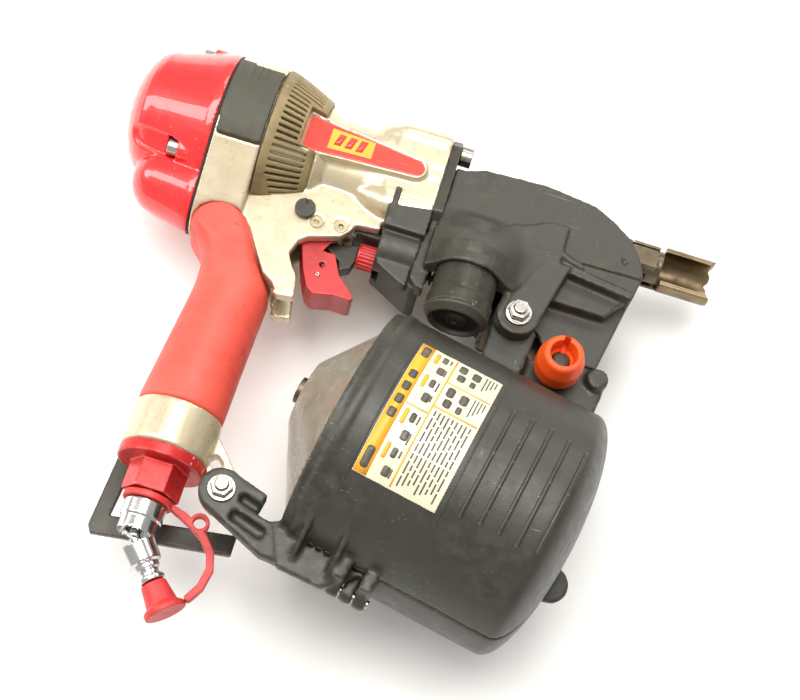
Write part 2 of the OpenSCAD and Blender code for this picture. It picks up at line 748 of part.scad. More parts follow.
module feed_pawl() {
    color(dark_steel) {
        xrod(154, 197.5, 1.5, y = -23.5, z = 7.6);
        difference() {
            box([160, -26, 5.6], [190, -13, 9]);
            box([168, -20, 5], [182, -12, 10]);
        }
        for (x = [160, 182.5]) box([x, -15.5, 3.8], [x + 7.5, -13, 6]);
    }
}

// ---------- magazine ----------
dome_h = 17;
shell_out = concat(dome_arc(mag_r, mag_len - dome_h, dome_h), [[mag_r, 0]]);
shell_in = concat(dome_arc(mag_in, mag_len - dome_h - 0.5, dome_h - 2), [[mag_in, -1]]);
// Quarter ellipse from the axis out to radius r
function dome_arc(r, u0, h, n = 9) = [for (i = [0 : n])
    let (a = 90 - 90 * i / n) [r * cos(a), u0 + h * sin(a)]];
module canister() {
    difference() {
        rotate([0, 90, 0]) rotate_extrude() polygon(concat(shell_out, [[0, 0]]));
        canister_inside();
    }
}
module canister_inside() {
    rotate([0, 90, 0]) rotate_extrude() polygon(concat(shell_in, [[0, -1]]));
}
// Everything on the cover's side of the canister's split
module cover_half(drop = 0) {
    rotate([-split_lean, 0, 0]) box([-1, -100, -100], [130, 100, split_z - drop]);
}
// Space that the closed cover takes up
module cover_room() {
    intersection() {
        xrod(0, 120, mag_r + gap);
        cover_half(-gap);
    }
}
// Part of a ring round the canister, from angle a0 to a1 above the +Y side
module shell_rib(u0, u1, r, a0, a1) {
    rotate([a0, 0, 0]) rotate([0, 90, 0]) translate([0, 0, u0]) rotate([0, 0, 90])
        rotate_extrude(angle = a1 - a0) translate([mag_in + 0.5, 0]) square([r - mag_in - 0.5, u1 - u0]);
}
module magazine_body() {
    color(black) difference() {
        union() {
            in_magazine() {
                canister();
                // ring for the window
                difference() {
                    union() {
                        xrod(-9, 0, 60.5);
                        xrod(rim_u, 0, rim_r);
                    }
                    xrod(-10, 1, 52);
                }
                // raised ribs round the shell
                for (u = [60 : 9 : 87]) shell_rib(u - 1.5, u + 1.5, mag_r + 1.2, 70, 119);
                // boss for the platform post
                difference() {
                    xrod(94, mag_len - 1, 9);
                    xrod(85, 97, 5 + thread_gap);
                }
                // hinge knuckles
                difference() {
                    for (u = body_knuckles) hinge_knuckle(u, u + knuckle_len, top = 16, low = 0);
                    canister_inside();
                }
                // ledge towards the nose
                difference() {
                    zslab(5.6, 14.8) polygon([[36, 50], [36, 66], [34, 84], [52, 84], [54, 66], [54, 50]]);
                    xrod(-1, 110, mag_in);
                    for (u = [38, 46]) box([u, 64, 10], [u + 5, 72, 20]);
                }
                // corner plate and gussets by the handle arm
                difference() {
                    union() {
                        zslab(9, 14) polygon([[-13, -50], [-13, -57], [-1, -76], [21, -75], [38, -57],
                            [38, -50]]);
                        for (u = [2, 19.5]) xslab(u, u + 2.5) polygon([[-75, 9.5], [-50, 9.5], [-42, 46]]);
                    }
                    xrod(-20, 110, mag_in);
                }
            }
            // arm to the handle
            difference() {
                zslab(4.2, 12) {
                    polygon([[59, -171.6], [87, -180.6], [100, -176], [100, -208], [84, -206], [55, -191.6]]);
                    translate(arm_bolt) circle(10.4);
                }
                in_magazine() xrod(-20, 110, mag_in);
            }
            // lug under the nose arm
            difference() {
                zslab(9.2, 15) {
                    translate(nose_bolt) circle(10.5);
                    polygon([[154.5, -60], [175.5, -60], [174, -84], [154, -86]]);
                }
                in_magazine() xrod(-20, 110, mag_in);
            }
            // holder of the spare nose tip
            difference() {
                zslab(5.2, 9) polygon([[174, -76], [184, -69.5], [209.5, -69.5], [215, -80], [212, -98],
                    [180, -100], [160, -88]]);
                in_magazine() canister_inside();
            }
            zrod(5.2, 24, 4.4, x = tip_peg[0], y = tip_peg[1]);
            zrod(5.2, 13, 5.4, x = 210.5, y = -75);
        }
        // feed slot towards the nose
        in_magazine() box([28, 50, -12], [96, 80, 4.8]);
        zrod(0, 40, 3 + thread_gap, x = nose_bolt[0], y = nose_bolt[1]);
        zrod(0, 40, 3 + thread_gap, x = arm_bolt[0], y = arm_bolt[1]);
        // pockets in the arm
        zslab(8, 14) {
            polygon([[69, -180.5], [86, -186], [84.5, -190], [67.5, -185]]);
            polygon([[67, -189], [84, -194], [83, -199.5], [66, -194]]);
        }
        in_magazine() {
            cover_room();
            xrod(knuckle_u0 - 1, knuckle_u0 + 3 * knuckle_len + 2, 2 + thread_gap,
                y = mag_hinge[0], z = mag_hinge[1]);
        }
    }
}
knuckle_u0 = 22;
knuckle_len = 6.2;
knuckle_r = 4.2;
body_knuckles = [knuckle_u0, knuckle_u0 + 2 * knuckle_len + 0.8];
module hinge_knuckle(u0, u1, top = knuckle_r, low = knuckle_r) {
    xrod(u0, u1, knuckle_r, y = mag_hinge[0], z = mag_hinge[1]);
    box([u0, mag_hinge[0], mag_hinge[1] - low], [u1, mag_hinge[0] + 10, mag_hinge[1] + top]);
}
module magazine_cover() {
    color(black) in_magazine() difference() {
        union() {
            intersection() {
                canister();
                cover_half();
                box([gap, -90, -90], [120, 90, 90]);
            }
            difference() {
                hinge_knuckle(knuckle_u0 + knuckle_len + 0.4, knuckle_u0 + 2 * knuckle_len + 0.4);
                canister_inside();
            }
            // finger tab
            difference() {
                zrod(-16, -12, 9, x = mag_len - 1, y = -14);
                canister_inside();
            }
            // foot that the tool lies on
            shell_rib(foot_u, foot_u + 9, foot_r, -95, -70);
        }
        xrod(-20, 110, 2 + fit, y = mag_hinge[0], z = mag_hinge[1]);
        xrod(90, 110, 9.6);
        box([28, 50, -20], [96, 80, 5]);
    }
}
module cover_hinge_pin() {
    color(steel) in_magazine() xrod(knuckle_u0 - 1, knuckle_u0 + 3 * knuckle_len + 1.8, 2,
        y = mag_hinge[0], z = mag_hinge[1]);
}
// Clear end window, a short cone that leans towards the driver axis
window_r = 51.6;
window_tip = [-31, 8];
module window_shape(t = 0) {
    hull() {
        xrod(-9, -8, window_r - t, $fn = 60);
        xrod(window_tip[0] + t, window_tip[0] + t + 1, 16 - t, y = window_tip[1], $fn = 40);
    }
}
module magazine_window() {
    color([0.6, 0.6, 0.5, 0.5]) in_magazine() difference() {
        union() {
            window_shape();
            xrod(-8, -0.5, window_r + 0.2);
        }
        window_shape(2);
        xrod(-10, 0, window_r - 2);
        xrod(-40, -20, 3 + fit, y = window_tip[1]);
    }
}
module window_knob() {
    color(dark_steel) in_magazine() {
        xrod(window_tip[0] - 3.5, window_tip[0] - 0.2, 6.5, y = window_tip[1]);
        xrod(window_tip[0] - 0.3, window_tip[0] + 3.4, 3, y = window_tip[1]);
        xrod(window_tip[0] + 2.2, window_tip[0] + 3.4, 6, y = window_tip[1]);
    }
}
module nail_platform() {
    color(black) in_magazine() difference() {
        union() {
            xrod(70, 73, 50);
            xrod(60, 73, 10);
        }
        xrod(50, 80, 5 + fit);
    }
}
module platform_post() {
    color(steel) in_magazine() xrod(24, 96.5, 5);
}
module instruction_label() {
    color("#e8e2cc") in_magazine() difference() {
        shell_rib(10, 50, mag_r + 0.35, 55, 123);
        xrod(0, 60, mag_r);
    }
}
module nose_tip_cap() {
    color(orange) difference() {
        translate([tip_peg[0], tip_peg[1], 9.2]) rotate_extrude() polygon([[4.5, 0], [8.5, 0], [11.4, 7],
            [11.4, 15], [9.5, 22], [8.6, 23], [6.6, 23], [6, 15], [4.5, 14]]);
        translate([tip_peg[0], tip_peg[1] + 7, 28]) cube([3, 5, 12], center = true);
    }
}
module flange_nut(at, z) {
    translate([at[0], at[1], z]) difference() {
        union() {
            cylinder(h = 1.4, r = 6.4);
            translate([0, 0, 1.4]) cylinder(h = 4, r = 5.1, $fn = 6);
        }
        translate([0, 0, -1]) cylinder(h = 10, r = 3 + thread_gap);
    }
}
module magazine_bolts() {
    color(steel) {
        flange_nut(nose_bolt, 23.6);
        zrod(5.4, 31, 3, x = nose_bolt[0], y = nose_bolt[1]);
        flange_nut(arm_bolt, 12.1);
        zrod(-4, 20, 3, x = arm_bolt[0], y = arm_bolt[1]);
        zrod(-8, -4.1, 5, x = arm_bolt[0], y = arm_bolt[1]);
        zrod(-4.2, -4, 3, x = arm_bolt[0], y = arm_bolt[1]);
    }
}

in_tool() head_cap();
in_tool() cap_bolts();
in_tool() cap_gasket();
in_tool() head_valve();
in_tool() head_valve_spring();
in_tool() cylinder_sleeve();
in_tool() sleeve_seals();
in_tool() piston();
in_tool() driver_blade();
in_tool() bumper();
in_tool() housing();
in_tool() side_pads();
in_tool() exhaust_cover();
in_tool() nameplate();
in_tool() front_plate();
in_tool() front_plate_bolts();
in_tool() rubber_grip();
in_tool() inlet_fitting();
in_tool() air_plug();
in_tool() dust_cap();
in_tool() cap_strap();
in_tool() belt_hook();
in_tool() hook_screw();
in_tool() trigger();
in_tool() trigger_pin();
in_tool() trigger_lever();
in_tool() lever_rivet();
in_tool() trigger_valve_body();
in_tool() trigger_valve_stem();
in_tool() trigger_valve_spring();
in_tool() mode_knob();
in_tool() keeper_screw();
in_tool() contact_arm();
in_tool() depth_dial();
in_tool() contact_foot();
in_tool() contact_spring();
in_tool() arm_guide();
in_tool() nose_body();
in_tool() nose_sleeve();
in_tool() nose_cover();
in_tool() nose_door();
in_tool() door_pin();
in_tool() door_latch();
in_tool() feeder_cylinder();
in_tool() feeder_cap();
in_tool() feed_piston();
in_tool() feed_spring();
in_tool() feed_pawl();
in_tool() magazine_body();
in_tool() magazine_cover();
in_tool() cover_hinge_pin();
in_tool() magazine_window();
in_tool() window_knob();
in_tool() nail_platform();
in_tool() platform_post();
in_tool() instruction_label();
in_tool() nose_tip_cap();
in_tool() magazine_bolts();
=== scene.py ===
"""Looks of a pneumatic coil nail gun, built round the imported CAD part.

Cast and moulded parts are copies of their CAD nodes with finer details added or cut, then
remeshed and smoothed so that every edge is rounded. Sizes are millimetres in the tool frame
(X along the driver axis from the cap seam, -Y down the handle, +Z the tool's right side) or in
the magazine frame (X along the canister's axis), and both are turned into the row frame here.
"""

import json
import math

import bmesh
import bpy
from mathutils import Matrix, Vector


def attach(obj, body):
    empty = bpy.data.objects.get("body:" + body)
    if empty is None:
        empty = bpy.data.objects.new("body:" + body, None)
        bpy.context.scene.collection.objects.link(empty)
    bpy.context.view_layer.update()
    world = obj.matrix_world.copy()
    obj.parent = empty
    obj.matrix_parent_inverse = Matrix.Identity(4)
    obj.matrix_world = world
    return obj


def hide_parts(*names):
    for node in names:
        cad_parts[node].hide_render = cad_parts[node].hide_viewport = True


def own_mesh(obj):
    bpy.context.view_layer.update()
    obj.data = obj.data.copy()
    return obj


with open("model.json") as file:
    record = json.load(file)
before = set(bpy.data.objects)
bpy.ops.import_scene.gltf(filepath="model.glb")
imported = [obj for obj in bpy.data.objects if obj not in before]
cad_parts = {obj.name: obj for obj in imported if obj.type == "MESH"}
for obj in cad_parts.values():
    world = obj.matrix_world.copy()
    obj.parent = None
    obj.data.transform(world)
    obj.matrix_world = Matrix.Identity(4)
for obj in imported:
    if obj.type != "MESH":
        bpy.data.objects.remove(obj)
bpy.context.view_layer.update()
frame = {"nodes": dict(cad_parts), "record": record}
record = frame["record"]
nodes = frame["nodes"]
body_of = {n: b for b, names in record["behaviour"]["bodies"].items() for n in names}
slot_of = {s["node"]: s["material_slot"] for s in record["subparts"]}
scene = bpy.context.scene

# ---------- frames ----------
MM = 0.001
HEAD_SIDE = 41.5
MAG_ORIGIN = Vector((109, -135, 0))
MAG_TILT = math.radians(11.5)
RIM_R, RIM_U = 62.4, -4
LIE = math.asin((RIM_R - HEAD_SIDE) / (RIM_U * math.sin(MAG_TILT) - MAG_ORIGIN.y))
TOOL = (Matrix.Translation(Vector((-104.5, 101.8, HEAD_SIDE)) * MM)
        @ Matrix.Rotation(-LIE, 4, "X") @ Matrix.Scale(MM, 4))
MAG = TOOL @ Matrix.Translation(MAG_ORIGIN) @ Matrix.Rotation(-MAG_TILT, 4, "Z")
MAG_R = 61.5


# ---------- solids ----------
def solid(points, faces, place=TOOL, name="solid"):
    """A closed mesh object from points in the frame given by place."""
    mesh = bpy.data.meshes.new(name)
    mesh.from_pydata([place @ Vector(p) for p in points], [], faces)
    bm = bmesh.new()
    bm.from_mesh(mesh)
    bmesh.ops.recalc_face_normals(bm, faces=bm.faces)
    bm.to_mesh(mesh)
    bm.free()
    obj = bpy.data.objects.new(name, mesh)
    scene.collection.objects.link(obj)
    return obj


def loft(rings, place=TOOL):
    """A solid through rings of points, each ring with the same number of points."""
    n = len(rings[0])
    points = [p for ring in rings for p in ring]
    faces = [(i * n + k, i * n + (k + 1) % n, (i + 1) * n + (k + 1) % n, (i + 1) * n + k)
             for i in range(len(rings) - 1) for k in range(n)]
    faces.append(tuple(range(n - 1, -1, -1)))
    faces.append(tuple((len(rings) - 1) * n + k for k in range(n)))
    return solid(points, faces, place)


def slab(outline, z0, z1, place=TOOL):
    """An outline in [x, y] between two heights."""
    return loft([[(x, y, z) for x, y in outline] for z in (z0, z1)], place)


def block(lo, hi, place=TOOL):
    """A box between two corners."""
    return slab([(lo[0], lo[1]), (hi[0], lo[1]), (hi[0], hi[1]), (lo[0], hi[1])], lo[2], hi[2], place)


def rod(start, end, radius, place=TOOL, sides=64):
    """A cylinder between two points."""
    a, b = Vector(start), Vector(end)
    along = (b - a).normalized()
    u = along.orthogonal().normalized()
    v = along.cross(u)
    turns = [2 * math.pi * k / sides for k in range(sides)]
    return loft([[c + (u * math.cos(t) + v * math.sin(t)) * radius for t in turns] for c in (a, b)], place)


def turned(profile, start=(0, 0, 0), place=TOOL, sides=96):
    """A solid of revolution about X; profile is [radius, distance along the axis]."""
    a, along = Vector(start), Vector((1, 0, 0))
    u = along.orthogonal().normalized()
    v = along.cross(u)
    turns = [2 * math.pi * k / sides for k in range(sides)]
    return loft([[a + along * d + (u * math.cos(t) + v * math.sin(t)) * max(r, 0.01) for t in turns]
                 for r, d in profile], place)


def tube(points, radius, place=TOOL, sides=24):
    """A round bar along a smooth line through points."""
    line = smooth_line(points)
    rings, up = [], None
    for i, p in enumerate(line):
        ahead = line[min(i + 1, len(line) - 1)] - line[max(i - 1, 0)]
        ahead.normalize()
        up = ahead.orthogonal().normalized() if up is None else (up - ahead * up.dot(ahead)).normalized()
        side = ahead.cross(up)
        rings.append([p + (up * math.cos(t) + side * math.sin(t)) * radius
                      for t in (2 * math.pi * k / sides for k in range(sides))])
    return loft(rings, place)


def relief(rows, height, base):
    """A raised field over rows of [x, y], down to a flat base."""
    nx, ny = len(rows[0]), len(rows)
    places = [p for row in rows for p in row]
    points = [(x, y, height(x, y)) for x, y in places] + [(x, y, base) for x, y in places]
    low = nx * ny
    faces = []
    for j in range(ny - 1):
        for i in range(nx - 1):
            a = j * nx + i
            faces.append((a, a + 1, a + nx + 1, a + nx))
            faces.append((low + a + nx, low + a + nx + 1, low + a + 1, low + a))
    edge = ([j * nx for j in range(ny)], [j * nx + nx - 1 for j in range(ny)],
            list(range(nx)), [(ny - 1) * nx + i for i in range(nx)])
    for line in edge:
        for a, b in zip(line, line[1:]):
            faces.append((a, b, low + b, low + a))
    return solid(points, faces)


def ramp(value, lo, hi):
    """0 at lo to 1 at hi with soft ends."""
    t = min(1.0, max(0.0, (value - lo) / (hi - lo)))
    return t * t * (3 - 2 * t)


def smooth_line(points, steps=8):
    """Points along a Catmull-Rom curve through the given ones."""
    p = [Vector(q) for q in points]
    p = [p[0] * 2 - p[1]] + p + [p[-1] * 2 - p[-2]]
    line = []
    for i in range(1, len(p) - 2):
        for k in range(steps):
            t = k / steps
            line.append(0.5 * (2 * p[i] + (p[i + 1] - p[i - 1]) * t
                               + (2 * p[i - 1] - 5 * p[i] + 4 * p[i + 1] - p[i + 2]) * t ** 2
                               + (3 * p[i] - p[i - 1] - 3 * p[i + 1] + p[i + 2]) * t ** 3))
    return line + [p[-2]]


def arc(cx, cy, r, a0, a1, n=8):
    """Points on an arc between two angles in degrees."""
    return [(cx + r * math.cos(math.radians(a0 + (a1 - a0) * i / n)),
             cy + r * math.sin(math.radians(a0 + (a1 - a0) * i / n))) for i in range(n + 1)]


def shell_patch(u0, u1, a0, a1, r0, r1, place=MAG, corner=0.0, steps=24):
    """A patch of a round wall between two lengths, two angles from +Y and two radii."""
    rings = []
    for i in range(steps + 1):
        a = math.radians(a0 + (a1 - a0) * i / steps)
        edge = min(i, steps - i) / steps * math.radians(abs(a1 - a0)) * r0
        trim = corner - math.sqrt(corner ** 2 - (corner - edge) ** 2) if edge < corner else 0.0
        rings.append([(u, r * math.cos(a), r * math.sin(a))
                      for u, r in ((u0 + trim, r0), (u1 - trim, r0), (u1 - trim, r1), (u0 + trim, r1))])
    return loft(rings, place)


# ---------- pieces ----------
def copy_nodes(*names):
    """One object with the meshes of these CAD nodes."""
    bm = bmesh.new()
    for n in names:
        bm.from_mesh(nodes[n].data)
    bmesh.ops.remove_doubles(bm, verts=bm.verts, dist=2e-6)
    mesh = bpy.data.meshes.new(names[0])
    bm.to_mesh(mesh)
    bm.free()
    obj = bpy.data.objects.new(names[0] + "_copy", mesh)
    scene.collection.objects.link(obj)
    return obj


def join(objs):
    """All objects' meshes in the first one."""
    first = objs[0]
    bm = bmesh.new()
    for o in objs:
        bm.from_mesh(o.data)
    bm.to_mesh(first.data)
    bm.free()
    for o in objs[1:]:
        bpy.data.objects.remove(o)
    return first


def bake(obj):
    """Applies the modifiers."""
    graph = bpy.context.evaluated_depsgraph_get()
    mesh = bpy.data.meshes.new_from_object(obj.evaluated_get(graph))
    obj.modifiers.clear()
    obj.data = mesh
    return obj


MAX_FACES = 190_000


def boolean(obj, other, operation):
    """obj after one exact Boolean operation with other, which is removed."""
    m = obj.modifiers.new("boolean", "BOOLEAN")
    m.operation, m.solver, m.object = operation, "EXACT", other
    bake(obj)
    bpy.data.objects.remove(other)
    return obj


def rounded(obj, voxel=0.6, smooth=6, add=(), cut=()):
    """obj with solids added and cut away, every edge rounded by a remesh. voxel is in mm."""
    if add:
        obj = join([obj, *add])
        remesh = obj.modifiers.new("fuse", "REMESH")
        remesh.mode, remesh.voxel_size = "VOXEL", voxel * MM
        bake(obj)
    for tool in cut:
        m = obj.modifiers.new("cut", "BOOLEAN")
        m.operation, m.solver, m.object = "DIFFERENCE", "EXACT", tool
    if cut:
        bake(obj)
        for tool in cut:
            bpy.data.objects.remove(tool)
    remesh = obj.modifiers.new("round", "REMESH")
    remesh.mode, remesh.voxel_size = "VOXEL", voxel * MM
    if smooth:
        m = obj.modifiers.new("smooth", "SMOOTH")
        m.factor, m.iterations = 0.5, smooth
    bake(obj)
    if len(obj.data.polygons) * 2 > MAX_FACES:
        thin = obj.modifiers.new("thin", "DECIMATE")
        thin.ratio = MAX_FACES / (len(obj.data.polygons) * 2)
        bake(obj)
    return obj


def piece(obj, name, node, material, replaces=True):
    """Names obj, gives it a material and rides it with a CAD node's body."""
    obj.name = name
    obj.data.name = name
    obj.data.materials.clear()
    obj.data.materials.append(material)
    for p in obj.data.polygons:
        p.use_smooth = True
    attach(obj, body_of[node])
    if replaces:
        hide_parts(node)
    return obj


# ---------- materials ----------
def srgb(r, g, b):
    """Linear colour of a 0 to 255 display colour."""
    def line(c):
        c /= 255
        return c / 12.92 if c <= 0.04045 else ((c + 0.055) / 1.055) ** 2.4
    return (line(r), line(g), line(b), 1.0)


class Shader:
    """A short way to write node materials."""

    def __init__(self, name):
        self.mat = bpy.data.materials.new(name)
        self.mat.use_nodes = True
        self.tree = self.mat.node_tree
        self.bsdf = self.tree.nodes["Principled BSDF"]
        self.coords = self.node("ShaderNodeTexCoord").outputs["Object"]

    def node(self, kind, inputs=None, **settings):
        n = self.tree.nodes.new(kind)
        for k, v in settings.items():
            setattr(n, k, v)
        for k, v in (inputs or {}).items():
            self.put(n.inputs[k], v)
        return n

    def put(self, socket, value):
        if isinstance(value, bpy.types.NodeSocket):
            self.tree.links.new(value, socket)
        else:
            socket.default_value = value

    def noise(self, scale, detail=3.0, rough=0.55, vector=None, offset=None):
        vector = vector or self.coords
        if offset:
            vector = self.node("ShaderNodeVectorMath", {0: vector, 1: offset}, operation="ADD").outputs[0]
        return self.node("ShaderNodeTexNoise", {"Vector": vector, "Scale": scale, "Detail": detail,
                                                "Roughness": rough}).outputs["Fac"]

    def stretched(self, scale):
        return self.node("ShaderNodeVectorMath", {0: self.coords, 1: scale}, operation="MULTIPLY").outputs[0]

    def remap(self, value, lo, hi, to_lo=0.0, to_hi=1.0):
        return self.node("ShaderNodeMapRange", {"Value": value, "From Min": lo, "From Max": hi,
                                                "To Min": to_lo, "To Max": to_hi}).outputs[0]

    def math(self, operation, a, b=0.0):
        return self.node("ShaderNodeMath", {0: a, 1: b}, operation=operation, use_clamp=True).outputs[0]

    def mix(self, factor, a, b):
        return self.node("ShaderNodeMix", {0: factor, 6: a, 7: b}, data_type="RGBA").outputs[2]

    def edges(self, lo=0.52, hi=0.6):
        """1 on sharp outer edges."""
        return self.remap(self.node("ShaderNodeNewGeometry").outputs["Pointiness"], lo, hi)

    def creases(self, lo=0.49, hi=0.44):
        """1 in inner corners."""
        return self.remap(self.node("ShaderNodeNewGeometry").outputs["Pointiness"], lo, hi)

    def bump(self, height, distance, below=None, strength=1.0):
        n = self.node("ShaderNodeBump", {"Height": height, "Distance": distance, "Strength": strength})
        if below is not None:
            self.put(n.inputs["Normal"], below)
        return n.outputs["Normal"]

    def finish(self, colour, rough, normal=None, **constants):
        self.put(self.bsdf.inputs["Base Color"], colour)
        self.put(self.bsdf.inputs["Roughness"], rough)
        if normal is not None:
            self.put(self.bsdf.inputs["Normal"], normal)
        for k, v in constants.items():
            self.bsdf.inputs[k.replace("_", " ")].default_value = v
        return self.mat


def surface(name, colour, second, rough, metallic=0.0, coat=0.0, coat_rough=0.1, specular=0.5,
            grain=1800.0, grain_depth=0.02, ripple=0.0, wear=None, wear_share=0.6, dirt_and_shade=None,
            dirt_and_shade_share=0.3, scratches=None, speckle=None):
    """Colour variation, grain, rubbed edges, dirt with painted shade in corners, scratches and chips, in one
    material.
    """
    s = Shader(name)
    cloud = s.noise(38.0, 4.0)
    patch = s.noise(160.0, 5.0, 0.6, offset=(0.3, 0.1, 0.7))
    c = s.mix(s.remap(cloud, 0.35, 0.68), colour, second)
    r = s.remap(patch, 0.3, 0.7, rough[0], rough[1])
    if dirt_and_shade:
        # Random dirt patches, plus painted shade: inner corners take the dirt colour, darker on most
        # materials and lighter, as dust, on the black ones.
        dirt_and_shade_mask = s.math("MULTIPLY", s.remap(patch, 0.42, 0.72), s.remap(cloud, 0.4, 0.66))
        dirt_and_shade_mask = s.math("MAXIMUM", dirt_and_shade_mask, s.math("MULTIPLY", s.creases(), s.remap(patch, 0.3, 0.6)))
        c = s.mix(s.math("MULTIPLY", dirt_and_shade_mask, dirt_and_shade_share), c, dirt_and_shade)
    if speckle:
        dots = s.remap(s.noise(520.0, 2.0, 0.5, offset=(1.3, 0.4, 0.2)), 0.70, 0.73)
        c = s.mix(s.math("MULTIPLY", dots, 0.85), c, speckle)
    normal = s.bump(s.noise(grain, 2.0), grain_depth * MM)
    if ripple:
        normal = s.bump(s.noise(90.0, 2.0), ripple * MM, normal)
    if scratches:
        lines = None
        for scale in ((60, 900, 700), (820, 70, 500), (400, 950, 60)):
            thin = s.remap(s.noise(1.0, 2.0, 0.5, s.stretched(scale)), 0.715, 0.735)
            lines = thin if lines is None else s.math("MAXIMUM", lines, thin)
        lines = s.math("MULTIPLY", lines, s.remap(s.noise(30.0, 2.0, offset=(0.9, 0.9, 0.1)), 0.46, 0.6))
        c = s.mix(s.math("MULTIPLY", lines, 0.6), c, scratches)
        normal = s.bump(lines, -0.03 * MM, normal)
    if wear:
        rubbed = s.math("MULTIPLY", s.edges(), s.remap(s.noise(240.0, 5.0, 0.65), 0.42, 0.56))
        c = s.mix(s.math("MULTIPLY", rubbed, wear_share), c, wear)
    return s.finish(c, r, normal, Metallic=metallic, Coat_Weight=coat, Coat_Roughness=coat_rough,
                    Specular_IOR_Level=specular)


RED_ENAMEL = surface("red_enamel", srgb(226, 30, 32), srgb(212, 22, 26), (0.3, 0.42), coat=1.0,
                     coat_rough=0.03, grain=500.0, grain_depth=0.012, ripple=0.35,
                     wear=srgb(246, 120, 110), wear_share=0.5,
                     scratches=srgb(250, 130, 118), dirt_and_shade=srgb(150, 22, 22), dirt_and_shade_share=0.35)
GOLD_PAINT = surface("gold_paint", srgb(216, 203, 174), srgb(206, 192, 162), (0.24, 0.36), metallic=0.62,
                     grain=2600.0, grain_depth=0.02, ripple=0.12, wear=srgb(240, 232, 212), wear_share=0.8,
                     dirt_and_shade=srgb(150, 136, 106), dirt_and_shade_share=0.25, speckle=srgb(170, 156, 126),
                     scratches=srgb(150, 138, 112))
# painted shade: the strong dark crease colour darkens the recessed screw slots
GOLD_SCREW = surface("gold_screw", srgb(198, 184, 152), srgb(180, 166, 134), (0.3, 0.45), metallic=0.6,
                     grain=2600.0, grain_depth=0.02, wear=srgb(236, 228, 208), wear_share=0.8,
                     dirt_and_shade=srgb(84, 72, 50), dirt_and_shade_share=0.8)
BRONZE = surface("bronze_plastic", srgb(142, 124, 88), srgb(128, 111, 77), (0.42, 0.58), metallic=0.25,
                 grain=2200.0, grain_depth=0.03, wear=srgb(190, 172, 128), wear_share=0.7,
                 dirt_and_shade=srgb(70, 58, 36), dirt_and_shade_share=0.7)
GRIP_RUBBER = surface("grip_rubber", srgb(226, 86, 70), srgb(218, 74, 60), (0.42, 0.6), grain=1500.0,
                      grain_depth=0.025, ripple=0.1, dirt_and_shade=srgb(130, 54, 44), dirt_and_shade_share=0.35,
                      speckle=srgb(140, 60, 48), wear=srgb(232, 110, 96), wear_share=0.5)
BLACK_PLASTIC = surface("black_plastic", srgb(55, 53, 45), srgb(45, 43, 36), (0.38, 0.56), grain=1300.0,
                        grain_depth=0.05, ripple=0.06, wear=srgb(140, 134, 112), wear_share=0.55,
                        dirt_and_shade=srgb(92, 86, 66), dirt_and_shade_share=0.4, scratches=srgb(120, 116, 98))
CANISTER = surface("canister_plastic", srgb(51, 50, 42), srgb(43, 42, 35), (0.34, 0.52), grain=1100.0,
                   grain_depth=0.05, ripple=0.08, wear=srgb(130, 126, 106), wear_share=0.5,
                   dirt_and_shade=srgb(88, 84, 66), dirt_and_shade_share=0.35, scratches=srgb(128, 124, 106))
BLACK_RUBBER = surface("black_rubber", srgb(70, 68, 57), srgb(61, 59, 49), (0.55, 0.7), grain=1700.0,
                       grain_depth=0.04, wear=srgb(120, 116, 98), wear_share=0.4, dirt_and_shade=srgb(108, 102, 82),
                       dirt_and_shade_share=0.4)
BLACK_METAL = surface("black_metal", srgb(56, 54, 45), srgb(46, 44, 37), (0.32, 0.45), metallic=0.3,
                      grain=2400.0, grain_depth=0.02, wear=srgb(168, 160, 138), wear_share=0.7,
                      dirt_and_shade=srgb(84, 78, 60), dirt_and_shade_share=0.4, scratches=srgb(130, 124, 104))
RED_PLASTIC = surface("red_plastic", srgb(196, 34, 38), srgb(180, 28, 32), (0.32, 0.46), coat=0.25,
                      coat_rough=0.2, grain=1600.0, grain_depth=0.02, wear=srgb(232, 90, 84), wear_share=0.6,
                      dirt_and_shade=srgb(96, 20, 20), dirt_and_shade_share=0.5)
PLATE_RED = surface("plate_red", srgb(226, 64, 50), srgb(216, 54, 42), (0.26, 0.36), coat=0.6, coat_rough=0.1,
                    grain=900.0, grain_depth=0.006, scratches=srgb(244, 150, 130))
SOFT_RED = surface("soft_red", srgb(206, 52, 48), srgb(190, 42, 40), (0.4, 0.55), grain=1200.0,
                   grain_depth=0.02, ripple=0.05, wear=srgb(226, 100, 90), wear_share=0.4,
                   dirt_and_shade=srgb(112, 36, 32), dirt_and_shade_share=0.5)
RED_ANODISED = surface("red_anodised", srgb(206, 44, 40), srgb(186, 34, 34), (0.26, 0.4), metallic=0.35,
                       grain=2600.0, grain_depth=0.015, wear=srgb(236, 196, 180), wear_share=0.9,
                       dirt_and_shade=srgb(90, 26, 22), dirt_and_shade_share=0.5, scratches=srgb(240, 150, 138))
ORANGE = surface("orange_rubber", srgb(240, 88, 16), srgb(230, 74, 12), (0.42, 0.55), grain=1400.0,
                 grain_depth=0.02, ripple=0.05, wear=srgb(250, 132, 60), wear_share=0.4,
                 dirt_and_shade=srgb(160, 50, 10), dirt_and_shade_share=0.4)
CHROME = surface("chrome", srgb(214, 214, 214), srgb(188, 188, 186), (0.1, 0.24), metallic=1.0,
                 grain=1800.0, grain_depth=0.006, dirt_and_shade=srgb(120, 112, 96), dirt_and_shade_share=0.5,
                 scratches=srgb(120, 118, 112))
ZINC = surface("zinc_steel", srgb(190, 188, 180), srgb(160, 156, 146), (0.2, 0.36), metallic=1.0,
               grain=2400.0, grain_depth=0.012, dirt_and_shade=srgb(96, 84, 60), dirt_and_shade_share=0.6,
               wear=srgb(236, 234, 226), wear_share=0.6)
